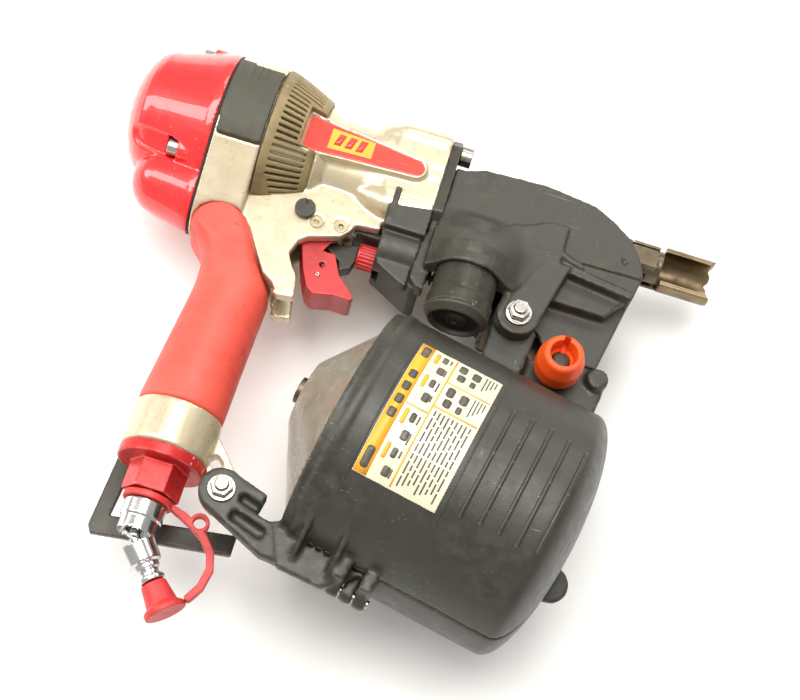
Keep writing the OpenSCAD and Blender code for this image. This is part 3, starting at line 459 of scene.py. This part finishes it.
DARK_STEEL = surface("dark_steel", srgb(116, 106, 88), srgb(92, 82, 66), (0.26, 0.46), metallic=0.9,
                     grain=1600.0, grain_depth=0.03, dirt_and_shade=srgb(72, 52, 30), dirt_and_shade_share=0.6,
                     wear=srgb(206, 190, 158), wear_share=0.9, scratches=srgb(196, 184, 160))
FOOT_STEEL = surface("foot_steel", srgb(142, 124, 96), srgb(98, 86, 66), (0.24, 0.46), metallic=0.9,
                     grain=1600.0, grain_depth=0.03, dirt_and_shade=srgb(64, 46, 26), dirt_and_shade_share=0.8,
                     wear=srgb(226, 200, 150), wear_share=0.95, scratches=srgb(214, 190, 144))
SPRING = surface("spring_steel", srgb(150, 148, 142), srgb(120, 116, 108), (0.22, 0.36), metallic=1.0,
                 grain=2600.0, grain_depth=0.01, dirt_and_shade=srgb(80, 70, 52), dirt_and_shade_share=0.5)
ALUMINIUM = surface("cast_aluminium", srgb(186, 186, 182), srgb(164, 163, 158), (0.3, 0.45), metallic=0.9,
                    grain=2000.0, grain_depth=0.02, dirt_and_shade=srgb(110, 104, 90), dirt_and_shade_share=0.4)
SEAL = surface("seal_rubber", srgb(30, 29, 27), srgb(24, 23, 21), (0.5, 0.65), grain=1500.0,
               grain_depth=0.02, dirt_and_shade=srgb(60, 56, 48), dirt_and_shade_share=0.4)


def window_material():
    """Smoky clear plastic, scuffed all over."""
    s = Shader("smoke_window")
    scuff = s.remap(s.noise(70.0, 6.0, 0.7), 0.42, 0.7)
    lines = s.remap(s.noise(1.0, 2.0, 0.5, s.stretched((500, 60, 300))), 0.66, 0.72)
    cover = s.math("MAXIMUM", scuff, lines)
    colour = s.mix(s.math("MULTIPLY", cover, 0.45), srgb(166, 164, 148), srgb(206, 203, 188))
    rough = s.remap(cover, 0.0, 1.0, 0.14, 0.34)
    normal = s.bump(s.noise(900.0, 3.0), 0.02 * MM)
    s.finish(colour, rough, normal, Transmission_Weight=0.5, IOR=1.45, Specular_IOR_Level=0.5)
    return s.mat


def label_material():
    """Printed film: cream field with a fine generic print that holds no letters."""
    s = Shader("label_film")
    stain = s.remap(s.noise(120.0, 5.0, 0.65), 0.45, 0.75)
    colour = s.mix(s.math("MULTIPLY", stain, 0.4), srgb(212, 206, 180), srgb(184, 176, 146))
    lines = s.remap(s.noise(1.0, 2.0, 0.5, s.stretched((700, 80, 500))), 0.68, 0.72)
    colour = s.mix(s.math("MULTIPLY", lines, 0.3), colour, srgb(150, 144, 120))
    return s.finish(colour, s.remap(stain, 0.0, 1.0, 0.3, 0.5), s.bump(s.noise(800.0), 0.006 * MM),
                    Coat_Weight=0.3, Coat_Roughness=0.2)


WINDOW = window_material()
LABEL = label_material()
LABEL_ORANGE = surface("label_orange", srgb(246, 168, 40), srgb(238, 158, 34), (0.3, 0.45), grain=900.0,
                       grain_depth=0.005, dirt_and_shade=srgb(190, 150, 70), dirt_and_shade_share=0.4)
LABEL_DARK = surface("label_dark", srgb(74, 70, 60), srgb(92, 88, 76), (0.35, 0.5), grain=900.0,
                     grain_depth=0.005, dirt_and_shade=srgb(150, 144, 122), dirt_and_shade_share=0.5)
EMBLEM = surface("emblem_orange", srgb(250, 160, 40), srgb(244, 176, 60), (0.28, 0.36), coat=0.5,
                 grain=900.0, grain_depth=0.005, dirt_and_shade=srgb(226, 120, 40), dirt_and_shade_share=0.3)

MATERIALS = {
    "red_enamel": RED_ENAMEL, "gold_paint": GOLD_PAINT, "bronze_plastic": BRONZE, "grip_rubber": GRIP_RUBBER,
    "black_rubber": BLACK_RUBBER, "black_plastic": BLACK_PLASTIC, "red_plastic": RED_PLASTIC,
    "red_soft": SOFT_RED, "red_anodised": RED_ANODISED, "orange_rubber": ORANGE, "smoke_window": WINDOW,
    "chrome_plug": CHROME, "zinc_steel": ZINC, "dark_steel": DARK_STEEL, "spring_steel": SPRING,
    "cast_aluminium": ALUMINIUM, "seal_rubber": SEAL, "label_film": LABEL, "black_metal": BLACK_METAL,
}

# ---------- camera, floor, lights ----------
# The camera looks down on the tool's right side, from below the handle, and is rolled a little.
CAMERA_AIM = Vector((116.81, -85.37, 0))
CAMERA_FAR = 760
CAMERA_ROLL = math.radians(17.2)
CAMERA_RISE = math.radians(65)


def make_camera():
    back = Vector((0, -math.cos(CAMERA_RISE), math.sin(CAMERA_RISE)))
    flat, steep = Vector((1, 0, 0)), Vector((0, math.sin(CAMERA_RISE), math.cos(CAMERA_RISE)))
    right = flat * math.cos(CAMERA_ROLL) + steep * math.sin(CAMERA_ROLL)
    up = steep * math.cos(CAMERA_ROLL) - flat * math.sin(CAMERA_ROLL)
    data = bpy.data.cameras.new("camera")
    data.sensor_width, data.lens = 36.0, 71.48
    data.clip_start, data.clip_end = 0.01, 20.0
    cam = bpy.data.objects.new("camera", data)
    scene.collection.objects.link(cam)
    turn = TOOL.to_3x3().normalized()
    axes = [turn @ v for v in (right, up, back)]
    cam.matrix_world = (Matrix.Translation(TOOL @ (CAMERA_AIM + back * CAMERA_FAR))
                        @ Matrix((axes[0], axes[1], axes[2])).transposed().to_4x4())
    scene.camera = cam
    return cam


def make_light(name, place, aim, size, power, colour=(1, 1, 1)):
    data = bpy.data.lights.new(name, "AREA")
    data.shape, data.size, data.size_y = "RECTANGLE", size[0], size[1]
    data.energy, data.color = power, colour
    light = bpy.data.objects.new(name, data)
    scene.collection.objects.link(light)
    light.location = place
    light.rotation_mode = "QUATERNION"
    light.rotation_quaternion = (Vector(aim) - Vector(place)).to_track_quat("-Z", "Y")


def make_stage():
    size = 4.0
    floor = solid([(-size, -size, 0), (size, -size, 0), (size, size, 0), (-size, size, 0)], [(0, 1, 2, 3)],
                  Matrix.Identity(4), "floor")
    s = Shader("floor")
    tint = s.mix(s.noise(1.5, 2.0), (0.96, 0.955, 0.94, 1), (0.94, 0.935, 0.92, 1))
    floor.data.materials.append(s.finish(tint, s.remap(s.noise(300.0), 0.3, 0.7, 0.75, 0.9)))
    world = bpy.data.worlds.new("world")
    world.use_nodes = True
    world.node_tree.nodes["Background"].inputs["Color"].default_value = (1.0, 0.985, 0.955, 1)
    world.node_tree.nodes["Background"].inputs["Strength"].default_value = 0.62
    scene.world = world
    make_light("softbox_top", (-0.15, 0.25, 1.3), (0, 0, 0), (1.0, 0.7), 17, (1.0, 0.985, 0.95))
    make_light("softbox_left", (-1.0, 0.1, 0.75), (0, 0, 0.03), (0.35, 0.9), 7, (1.0, 0.98, 0.95))
    make_light("softbox_back", (0.35, 1.1, 0.8), (0, 0, 0.03), (1.1, 0.3), 6, (1.0, 0.98, 0.95))
    scene.view_settings.view_transform = "Standard"


make_camera()
make_stage()


# ---------- small parts: the CAD shape with rounded edges ----------
# node: (voxel in mm, smoothing passes)
SMALL = {
    "nose_sleeve": (0.35, 3), "cap_bolts": (0.3, 4), "cap_gasket": (0.5, 3), "front_plate": (0.45, 5),
    "front_plate_bolts": (0.3, 4), "hook_screw": (0.25, 3), "trigger_pin": (0.22, 3),
    "trigger_lever": (0.3, 3), "lever_rivet": (0.2, 3), "trigger_valve_body": (0.3, 3),
    "trigger_valve_stem": (0.22, 3), "mode_knob": (0.25, 4), "keeper_screw": (0.2, 3),
    "contact_arm": (0.35, 4), "nose_door": (0.5, 3), "door_latch": (0.35, 4), "door_pin": (0.25, 2),
    "feeder_cylinder": (0.45, 4), "feeder_cap": (0.35, 4), "feed_pawl": (0.3, 3),
    "cover_hinge_pin": (0.25, 2), "window_knob": (0.35, 4), "belt_hook": (0.45, 6), "dust_cap": (0.35, 4),
    "inlet_fitting": (0.42, 5), "air_plug": (0.35, 4), "cap_strap": (0.35, 6), "trigger": (0.35, 6),
    "depth_dial": (0.28, 3), "contact_foot": (0.4, 3), "nose_body": (0.45, 4), "magazine_window": (0.6, 8),
    "nose_tip_cap": (0.35, 6), "magazine_bolts": (0.25, 3),
    "side_pads": (0.45, 6), "instruction_label": (0.3, 0),
}
OWN_LOOK = {"keeper_screw": GOLD_SCREW, "trigger_pin": GOLD_SCREW, "contact_foot": FOOT_STEEL}


def small_part(node, add=()):
    voxel, smooth = SMALL[node]
    obj = rounded(copy_nodes(node), voxel, smooth, add)
    piece(obj, node + "_look", node, OWN_LOOK.get(node) or MATERIALS[slot_of[node]])


# inner parts keep their CAD mesh and get a full material
for node in ("head_valve", "cylinder_sleeve", "sleeve_seals", "piston", "driver_blade", "bumper",
             "feed_piston", "nail_platform", "platform_post"):
    nodes[node].data.materials.clear()
    nodes[node].data.materials.append(MATERIALS[slot_of[node]])
for node in SMALL:
    if node not in ("side_pads", "instruction_label"):
        small_part(node)


# ---------- springs ----------
# node: (the joint that presses it, its fixed end, its free end)
SPRINGS = {
    "head_valve_spring": ("head_valve_lift", (-18.9, 0, 0), (-10.1, 0, 0)),
    "trigger_valve_spring": ("valve_stem_lift", (63, -23.2, 0), (63, -35.8, 0)),
    "contact_spring": ("contact_travel", (106.2, -43.5, 0), (126.8, -43.5, 0)),
    "feed_spring": ("feed_stroke", (137, -70.4, 24), (137, -52.1, 24)),
}


def springs():
    """Springs keep their CAD shape, with a spring material, and ride with their bodies."""
    for node, (joint, fixed, free) in SPRINGS.items():
        obj = piece(copy_nodes(node), node + "_look", node, MATERIALS[slot_of[node]])
        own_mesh(obj)


# ---------- head ----------
CAP_BOLTS = [(y, z) for y in (27, -27) for z in (20, -20)]


def offset(outline, by):
    """An outline moved outwards by this much, for a convex outline drawn either way round."""
    n = len(outline)
    area = sum(outline[i][0] * outline[(i + 1) % n][1] - outline[(i + 1) % n][0] * outline[i][1]
               for i in range(n))
    turn = 1 if area > 0 else -1
    moved = []
    for i in range(n):
        a, b, c = (Vector(outline[k % n]) for k in (i - 1, i, i + 1))
        before, after = (b - a).normalized(), (c - b).normalized()
        out = Vector((before.y + after.y, -before.x - after.x)) * turn
        moved.append(tuple(b + out.normalized() * by / max(0.5, out.length / 2)))
    return moved


CAP_DOME = ([(32.8 * math.sin(math.pi * i / 16), -47 + 17 * (1 - math.cos(math.pi * i / 16)))
             for i in range(9)] + [(37.2, -14), (40, -4), (40, 0)])
FLOOR_DEPTH = 0.955  # the channels' floors lie on the dome scaled by this


def head_cap():
    """Glossy cap: a shallow channel leads to each bolt, and a small hole is sunk in the lobe."""
    obj = copy_nodes("head_cap")
    floors = []
    for y, z in CAP_BOLTS:
        side = 1 if z > 0 else -1
        lo, hi = sorted((side * 11.0, side * 26.0))
        floor = block((-44, y - 6.6, lo), (-19.6, y + 6.6, hi))
        dome = turned([(r * FLOOR_DEPTH, d * FLOOR_DEPTH) for r, d in CAP_DOME])
        floors.append(boolean(floor, dome, "INTERSECT"))
        boolean(floors[-1], rod((-33, 0, 0), (1, 0, 0), 29.9), "DIFFERENCE")
    hole = rod((-18, -68, 24), (-18, -52, 15), 2.4)
    obj = rounded(obj, 0.55, 10, add=floors, cut=[hole])
    boolean(obj, rod((-32.2, 0, 0), (-18, 0, 0), 10.4), "DIFFERENCE")
    piece(obj, "head_cap_look", "head_cap", RED_ENAMEL)


def side_pads():
    """Rubber pads with three short ribs near their upper end."""
    ribs = []
    for side in (1, -1):
        for x in (9, 12.5, 16):
            ribs.append(tube([(x, 11, side * 40.2), (x, 16, side * 38.5), (x, 21, side * 36.0)], 0.9))
    strips = [shell_patch(1.2, 9, a0, a1, 38.4, 40.9, TOOL) for a0, a1 in ((53, 109), (-109, -53))]
    small_part("side_pads", add=ribs + strips)


EXHAUST_PROFILE = [(36.8, 25.0), (40.2, 25.0), (39.8, 27.2), (38.6, 31.2), (36.3, 37.2), (33.6, 43.6),
                   (31.0, 49.4), (28.4, 49.5)]
PLATE = [(42.6, 8.9), (42.6, -10.0)] + arc(98, -2.2, 4.5, -90, 90, 10)
PLATE_HEAD = ((41.4, -11.2), (62, 10.2))  # corners of the recess round the nameplate's wide end
SLOT_PITCH = 5.2  # degrees


def exhaust_cover():
    """Ring of fine exhaust slots that run along the tool, shorter beside the nameplate."""
    obj = turned(EXHAUST_PROFILE + [EXHAUST_PROFILE[0]], sides=144)
    bm = bmesh.new()
    bm.from_mesh(obj.data)
    caps = [f for f in bm.faces if len(f.verts) > 4]
    bmesh.ops.delete(bm, geom=caps, context="FACES_ONLY")
    bmesh.ops.remove_doubles(bm, verts=bm.verts, dist=1e-7)
    bmesh.ops.recalc_face_normals(bm, faces=bm.faces)
    bm.to_mesh(obj.data)
    bm.free()
    cut = [block((20, -60, -15.3), (60, -15, 15.3))]
    for side in (1, -1):
        for i in range(22):
            angle = math.radians(52 + SLOT_PITCH * (i - 5))
            out = Vector((0, -math.cos(angle), side * math.sin(angle)))
            across = Vector((0, math.sin(angle), side * math.cos(angle)))
            near_plate = 68 < math.degrees(angle) < 112
            x0 = 29.5 if i > 2 else 33.5 - i
            x1 = 40.2 if near_plate else 46.2
            rings = [[Vector((x, 0, 0)) + out * r + across * w for r, w in
                      ((24, -0.62), (24, 0.62), (48, 0.72), (48, -0.72))] for x in (x0, x1)]
            cut.append(loft(rings))
        lo, hi = sorted((side * 20, side * 50))
        cut.append(block((*PLATE_HEAD[0], lo), (*PLATE_HEAD[1], hi)))
    obj = rounded(obj, 0.4, 3, cut=cut)
    piece(obj, "exhaust_cover_look", "exhaust_cover", BRONZE)


BLOCK_END = [(-27, -17), (-20, -24), (18, -24), (25, -17), (25, 17), (18, 24), (-20, 24), (-27, 17)]


def ring_points(x, outline=None, r=0.0, n=64):
    """n points at equal angles on a circle, or on an outline in [y, z]."""
    points = []
    for k in range(n):
        t = 2 * math.pi * k / n
        d = Vector((math.cos(t), math.sin(t)))
        reach = r
        if outline:
            for i, a in enumerate(outline):
                a, b = Vector(a), Vector(outline[(i + 1) % len(outline)])
                e = b - a
                den = d.x * e.y - d.y * e.x
                if abs(den) > 1e-9:
                    far = (a.x * e.y - a.y * e.x) / den
                    at = (a.x * d.y - a.y * d.x) / den
                    if far > 0 and -1e-6 <= at <= 1 + 1e-6:
                        reach = far
        points.append((x, d.x * reach, d.y * reach))
    return points


LUGS = [(y, z) for y in (-20, 18) for z in (17, -17)]
# radius and x of the driver's chambers, cut again through what is added
CHAMBERS = [(30.5, -0.5), (30.5, 18), (22, 44), (20.3, 47), (20.3, 113)]


def housing():
    """Casting: a raised rim frames the nameplate, and the barrel swells into the front lugs."""
    add = [slab(offset(PLATE, 1.3), 12, 27.5),
           loft([ring_points(x, r=24.4) for x in (62, 66)] + [ring_points(74, r=25.2)]
                + [ring_points(90, outline=BLOCK_END)])]
    turns = [2 * math.pi * q / 40 for q in range(40)]
    for y, z in LUGS:
        # x, share of the lug's distance from the axis, radius
        add.append(loft([[(x, y * k + r * math.cos(t), z * k + r * math.sin(t)) for t in turns]
                         for x, k, r in ((70, 0.72, 3.0), (74, 0.8, 5.0), (80, 0.9, 6.8), (88, 1.0, 7.6),
                                         (109, 1.0, 7.9), (111.5, 1.0, 7.6))]))
    cut = [turned(CHAMBERS),
           slab(offset(PLATE, 0.25), 26.3, 45),
           block((*PLATE_HEAD[0], 28.6), (*PLATE_HEAD[1], 45))]
    # cooling grooves under the nameplate
    for x, y in ((45.8, -16.2), (49.8, -16.8), (53.8, -17.6)):
        cut.append(tube([(x - 1.2, y + 2.6, 30.5), (x + 1.6, y - 2.8, 27.5)], 1.0))
    bores = [rod((98, y, z), (113, y, z), 3.1) for y, z in LUGS]
    obj = rounded(copy_nodes("housing"), 0.62, 6, add=add, cut=cut + bores)
    piece(obj, "housing_look", "housing", GOLD_PAINT)


def nameplate():
    """Red inlay in a bright raised edge, with a plain two-colour emblem."""
    obj = rounded(slab(PLATE, 22, 27.0), 0.3, 4)
    piece(obj, "nameplate_look", "nameplate", PLATE_RED)
    field = rounded(slab([(54, -6.2), (76, -5.0), (76, 4.2), (54, 5.4)], 26.4, 27.12), 0.15, 2)
    piece(field, "nameplate_emblem", "nameplate", EMBLEM, replaces=False)
    bars = [slab([(x, -3.6), (x + 3.4, -3.4), (x + 5.2, 3.0), (x + 1.8, 3.2)], 27.1, 27.24)
            for x in (56.5, 62, 67.5)]
    piece(join(bars), "nameplate_bars", "nameplate", PLATE_RED, replaces=False)


# The grip's sections, as [distance down, left x, right x, power of the superellipse]
GRIP_EDGES = [(46.7, 14, 20, 4), (47.4, 9.6, 24, 4), (49, 6.4, 27, 4.4), (51.5, 3.8, 29.6, 4.6),
              (55, 2.4, 32, 4.6), (58.5, 2.6, 34, 4.4), (61.5, 4.4, 35.6, 4), (64.5, 7.4, 37.5, 3.6),
              (68, 10.4, 39.8, 3.2),
              (72, 12.6, 42.6, 2.9), (76, 13.5, 45.8, 2.7), (80, 13.8, 48.8, 2.5), (84, 13.9, 50.1, 2.3),
              (90, 13.6, 50.1, 2.1), (100, 12.6, 49.8, 2), (115, 11.1, 49.5, 2), (130, 9.7, 49.3, 2),
              (144, 8.3, 49.1, 2), (148.6, 8.1, 49.0, 2), (149.8, 8.9, 48.2, 2)]


GRIP_THICK = (18.7, 20.5)  # half thickness down to the root's end, and at the handle's end


def rubber_grip():
    """Smooth rubber sleeve that swells out over the handle's root."""
    rings = []
    edges = [smooth_line([(e[0], e[k], 0) for e in GRIP_EDGES], 3) for k in (1, 2, 3)]
    for left, right, flat in zip(*edges):
        down, x0, x1, power = left.x, left.y, right.y, flat.y
        half, mid = (x1 - x0) / 2, (x0 + x1) / 2
        thick = GRIP_THICK[0] + (GRIP_THICK[1] - GRIP_THICK[0]) * max(0, down - 84) / 66
        if down > 148.6:
            thick -= (down - 148.6) * 0.7
        ring = []
        for k in range(72):
            t = 2 * math.pi * k / 72
            c, s = math.cos(t), math.sin(t)
            ring.append((mid + half * math.copysign(abs(c) ** (2 / power), c), -down,
                         thick * math.copysign(abs(s) ** (2 / power), s)))
        rings.append(ring)
    obj = rounded(loft(rings), 0.7, 8)
    piece(obj, "rubber_grip_look", "rubber_grip", GRIP_RUBBER)


def arm_guide():
    """Hood over the contact arm: a round top, a flat flank and a flange against the nose cover."""
    add = [rod((92.2, -41, 10.2), (111, -41, 10.2), 11.6),
           slab([(90.6, -24.4), (112, -20.8), (112, -36), (91.4, -36)], 14, 25.6),
           slab([(92, -48), (110, -48), (110, -60.5), (107, -60), (94, -53)], 10, 17.4)]
    cut = [block((92.9, -50.5, -8), (103, -36.5, 8)), block((106, -51.5, -8.5), (117, -36.5, 8.5)),
           rod((102, -43.5, 0), (107, -43.5, 0), 1.6), rod((90, -43.5, 0), (95, -43.5, 0), 7.2),
           block((91, -47, -7), (95, -40, 7)), block((80, -60, -14), (92, -36.4, 22))]
    obj = rounded(copy_nodes("arm_guide"), 0.5, 6, add=add, cut=cut)
    piece(obj, "arm_guide_look", "arm_guide", BLACK_PLASTIC)


FEEDER = (137, 24)  # x and z of the feeder's axis
COVER_LOW = 19.8  # underside of what is added to the nose cover
STEP_LINE = [(115.4, -28.8), (122.8, -28.2), (133.3, -26.9), (140.9, -23.0), (154.6, -13.2), (170.9, -6.9),
             (184, -6.4), (196, -8.2)]


def step_at(x):
    """Y of the cover's step line at x."""
    if x <= STEP_LINE[0][0]:
        return STEP_LINE[0][1]
    for (x0, y0), (x1, y1) in zip(STEP_LINE, STEP_LINE[1:]):
        if x <= x1:
            return y0 + (y1 - y0) * ramp(x, x0, x1)
    return STEP_LINE[-1][1]


def saddle(x, y):
    """Height of the cover below its step line: it swells over the feeder's cylinder."""
    swell = ramp(-y, 12, 48)
    wide = 17.4 + 6 * (1 - swell)
    return 23.7 + 17.5 * swell * math.exp(-abs((x - FEEDER[0]) / wide) ** 3.4)


def over_rod(x, y):
    """Height of the low swell that covers the feeder's rod."""
    return 21.8 + 9.2 * ramp(-y, 12.5, 23.5) * math.exp(-abs((x - FEEDER[0]) / 12.5) ** 2.3)


def nose_cover():
    """Cover whose lower half is raised by a step and swells over the feeder.

    The CAD hood over the feeder is cut off first, and these solids take its place.
    """
    rows = []
    for j in range(49):
        row = []
        for i in range(79):
            x = 115.6 + 62.4 * i / 78
            low = -50.5 if x < 158 else -50.5 + 22.0 * ramp(x, 158, 172)
            row.append((x, low + (step_at(x) - low) * j / 48))
        rows.append(row)
    skirt = relief(rows, saddle, COVER_LOW)
    flange = slab([(112.6, -29.8), (118.5, -29.8), (118.5, -61), (114.6, -60), (110.6, -56), (110.6, -36)],
                  10.5, COVER_LOW)
    lip = tube([(157.0, -62, 22.6), (158.4, -52, 22.8), (159.4, -40, 22.9), (160.8, -31, 22.9),
                (164.4, -26.6, 22.9), (171, -23.6, 22.9), (178.4, -22.2, 22.6), (184, -24.2, 22.2),
                (198, -26.4, 21.6), (212, -28.0, 21.0)], 1.5)
    back = block((112.7, -29, 10), (121, 6.4, 20.8))
    lid = block((117, -31, COVER_LOW), (157, -13, 22))
    grid = [[(116.5 + i, -36 + 0.75 * j) for i in range(42)] for j in range(33)]
    rod_lid = relief(grid, over_rod, COVER_LOW)
    cut = [rod((FEEDER[0], -39.4, FEEDER[1]), (FEEDER[0], -62, FEEDER[1]), 15.25),
           rod((FEEDER[0], -21, FEEDER[1]), (FEEDER[0], -42, FEEDER[1]), 4.3),
           block((132.8, -39, 10), (141.2, -21, 26.6)),
           # wedge below the nose's front corner, and a small notch beside it
           slab([(219.5, -21.6), (188, -22.6), (190, -26.6), (221, -31)], 20.6, 26),
           slab([(206, -13.6), (211, -13.2), (208.2, -17.6)], 21, 26)]
    obj = copy_nodes("nose_cover")
    for shape in (block((116, -38, 22.02), (159, -12, 45)), block((158.8, -27.5, 22.02), (190, -18, 25))):
        boolean(obj, shape, "DIFFERENCE")
    obj = rounded(obj, 0.6, 5, add=[skirt, flange, lip, back, lid, rod_lid], cut=cut)
    piece(obj, "nose_cover_look", "nose_cover", BLACK_PLASTIC)


SPLIT = MAG @ Matrix.Rotation(math.radians(-11.5), 4, "X")
SPLIT_Z = 2.5
CANISTER_WALL = 2.4


def canister_half(upper):
    """One half of the canister's wall, finely divided, with the openings that the CAD halves have."""
    steps = [math.radians(6 * i) for i in range(16)]
    inner_r = MAG_R - CANISTER_WALL
    shell = turned([(MAG_R, 0.4)] + [(MAG_R * math.cos(a), 95 + 17 * math.sin(a)) for a in steps],
                   place=MAG, sides=192)
    inside = turned([(inner_r, -2)] + [(inner_r * math.cos(a), 94.5 + 15 * math.sin(a)) for a in steps],
                    place=MAG, sides=192)
    boolean(shell, inside, "DIFFERENCE")
    z0, z1 = (SPLIT_Z + 0.3, 90) if upper else (-90, SPLIT_Z)
    boolean(shell, block((-5, -90, z0), (130, 90, z1), SPLIT), "INTERSECT")
    boolean(shell, block((28, 50, -20), (96, 80, 4.9), MAG), "DIFFERENCE")
    if not upper:
        boolean(shell, rod((85, 0, 0), (115, 0, 0), 9.8, place=MAG), "DIFFERENCE")
    return shell


RIB_PLACES = [(60, 68), (69, 67), (78, 67), (87, 68), (96, 70)]  # length, first angle
RIB_END = [(0.05, -1.1), (0.6, -0.92), (0.95, -0.55), (1.1, 0), (0.95, 0.55), (0.6, 0.92), (0.05, 1.1)]


def wall_line(u, r, angles):
    """Points round the canister at one length and radius."""
    return [(u, r * math.cos(math.radians(a)), r * math.sin(math.radians(a))) for a in angles]


def magazine_body():
    """Canister half with five thin round-ended ribs, and a fine line at each side of the label."""
    cad_ribs = shell_patch(56, 92, 64, 124, MAG_R + 0.02, MAG_R + 4)
    obj = boolean(copy_nodes("magazine_body"), cad_ribs, "DIFFERENCE")
    obj = rounded(obj, 0.9, 4, add=[canister_half(True)])
    piece(obj, "magazine_body_look", "magazine_body", CANISTER)
    ribs = []
    for u, a0 in RIB_PLACES:
        line = wall_line(u, MAG_R - 0.2, range(a0, 120, 3))
        ribs.append(tube(line, 1.1, MAG))
        ribs += [turned(RIB_END, p, MAG, sides=24) for p in (line[0], line[-1])]
    for u in (8.6, 52.4):
        ribs.append(tube(wall_line(u, MAG_R - 0.25, range(36, 130, 4)), 0.55, MAG))
    piece(join(ribs), "canister_ribs", "magazine_body", CANISTER, replaces=False)


def magazine_cover():
    obj = rounded(copy_nodes("magazine_cover"), 0.9, 4, add=[canister_half(False)])
    piece(obj, "magazine_cover_look", "magazine_cover", CANISTER)


LABEL_R = MAG_R + 0.34


def print_patch(u0, u1, a0, a1, corner=0.0):
    """A thin print on the label between two lengths and two angles."""
    steps = 12 if a1 - a0 > 3 else 4
    return shell_patch(u0, u1, a0, a1, LABEL_R, LABEL_R + 0.1, corner=corner, steps=steps)


def instruction_label():
    """Film label with plain bands, blocks and dashes in place of any print."""
    small_part("instruction_label")
    bands = [print_patch(10.3, 16.6, 55.4, 122.6), print_patch(27.4, 28.2, 56, 122),
             print_patch(17.0, 27.4, 88.2, 88.9), print_patch(28.2, 49.2, 84, 84.7),
             print_patch(28.2, 49.2, 70.6, 71.2)]
    bands += [print_patch(18.2, 20.2, a, a + 7, 0.5) for a in (57.5, 72, 90.5, 106)]
    marks = [shell_patch(11.6, 15.4, a, a + w, LABEL_R + 0.06, LABEL_R + 0.16, corner=0.9, steps=10)
             for a, w in ((57, 7), (73, 4.4), (79.6, 4.4), (86.2, 4.4), (92.8, 4.4), (110.5, 9.5))]
    for i, a in enumerate((57.5, 65, 73, 80.5, 91, 99, 107, 115)):
        marks.append(print_patch(21.6, 24.2 + 0.9 * (i % 2), a, a + 4.4, 0.9))
        marks.append(print_patch(25.2, 26.0, a + 0.4, a + 3.4 + (i % 3)))
    for a in (57, 72.4):
        marks += [print_patch(30, 33.8, a, a + 5.2, 1.2), print_patch(30.8, 34.6, a + 6.2, a + 10.4, 1.2),
                  print_patch(36.6, 40.6, a + 0.6, a + 5.8, 1.2),
                  print_patch(37.2, 39.8, a + 7, a + 10.6, 0.8)]
        marks += [print_patch(u, u + 0.6, a, a + 9.5 - 1.7 * k)
                  for k, u in enumerate((42.6, 44.2, 45.8, 47.4))]
    for k in range(9):
        u, at = 29.8 + 2.1 * k, 86.0
        for j in range(7):
            wide = 2.4 + 1.1 * ((k * 5 + j * 3) % 4)
            if at + wide > 121.2:
                break
            marks.append(print_patch(u, u + 0.75, at, at + wide))
            at += wide + 0.9
    piece(join(bands), "label_bands", "instruction_label", LABEL_ORANGE, replaces=False)
    piece(join(marks), "label_marks", "instruction_label", LABEL_DARK, replaces=False)


for build in (springs, head_cap, side_pads, exhaust_cover, housing, nameplate, rubber_grip, arm_guide,
              nose_cover, magazine_body, magazine_cover, instruction_label):
    build()
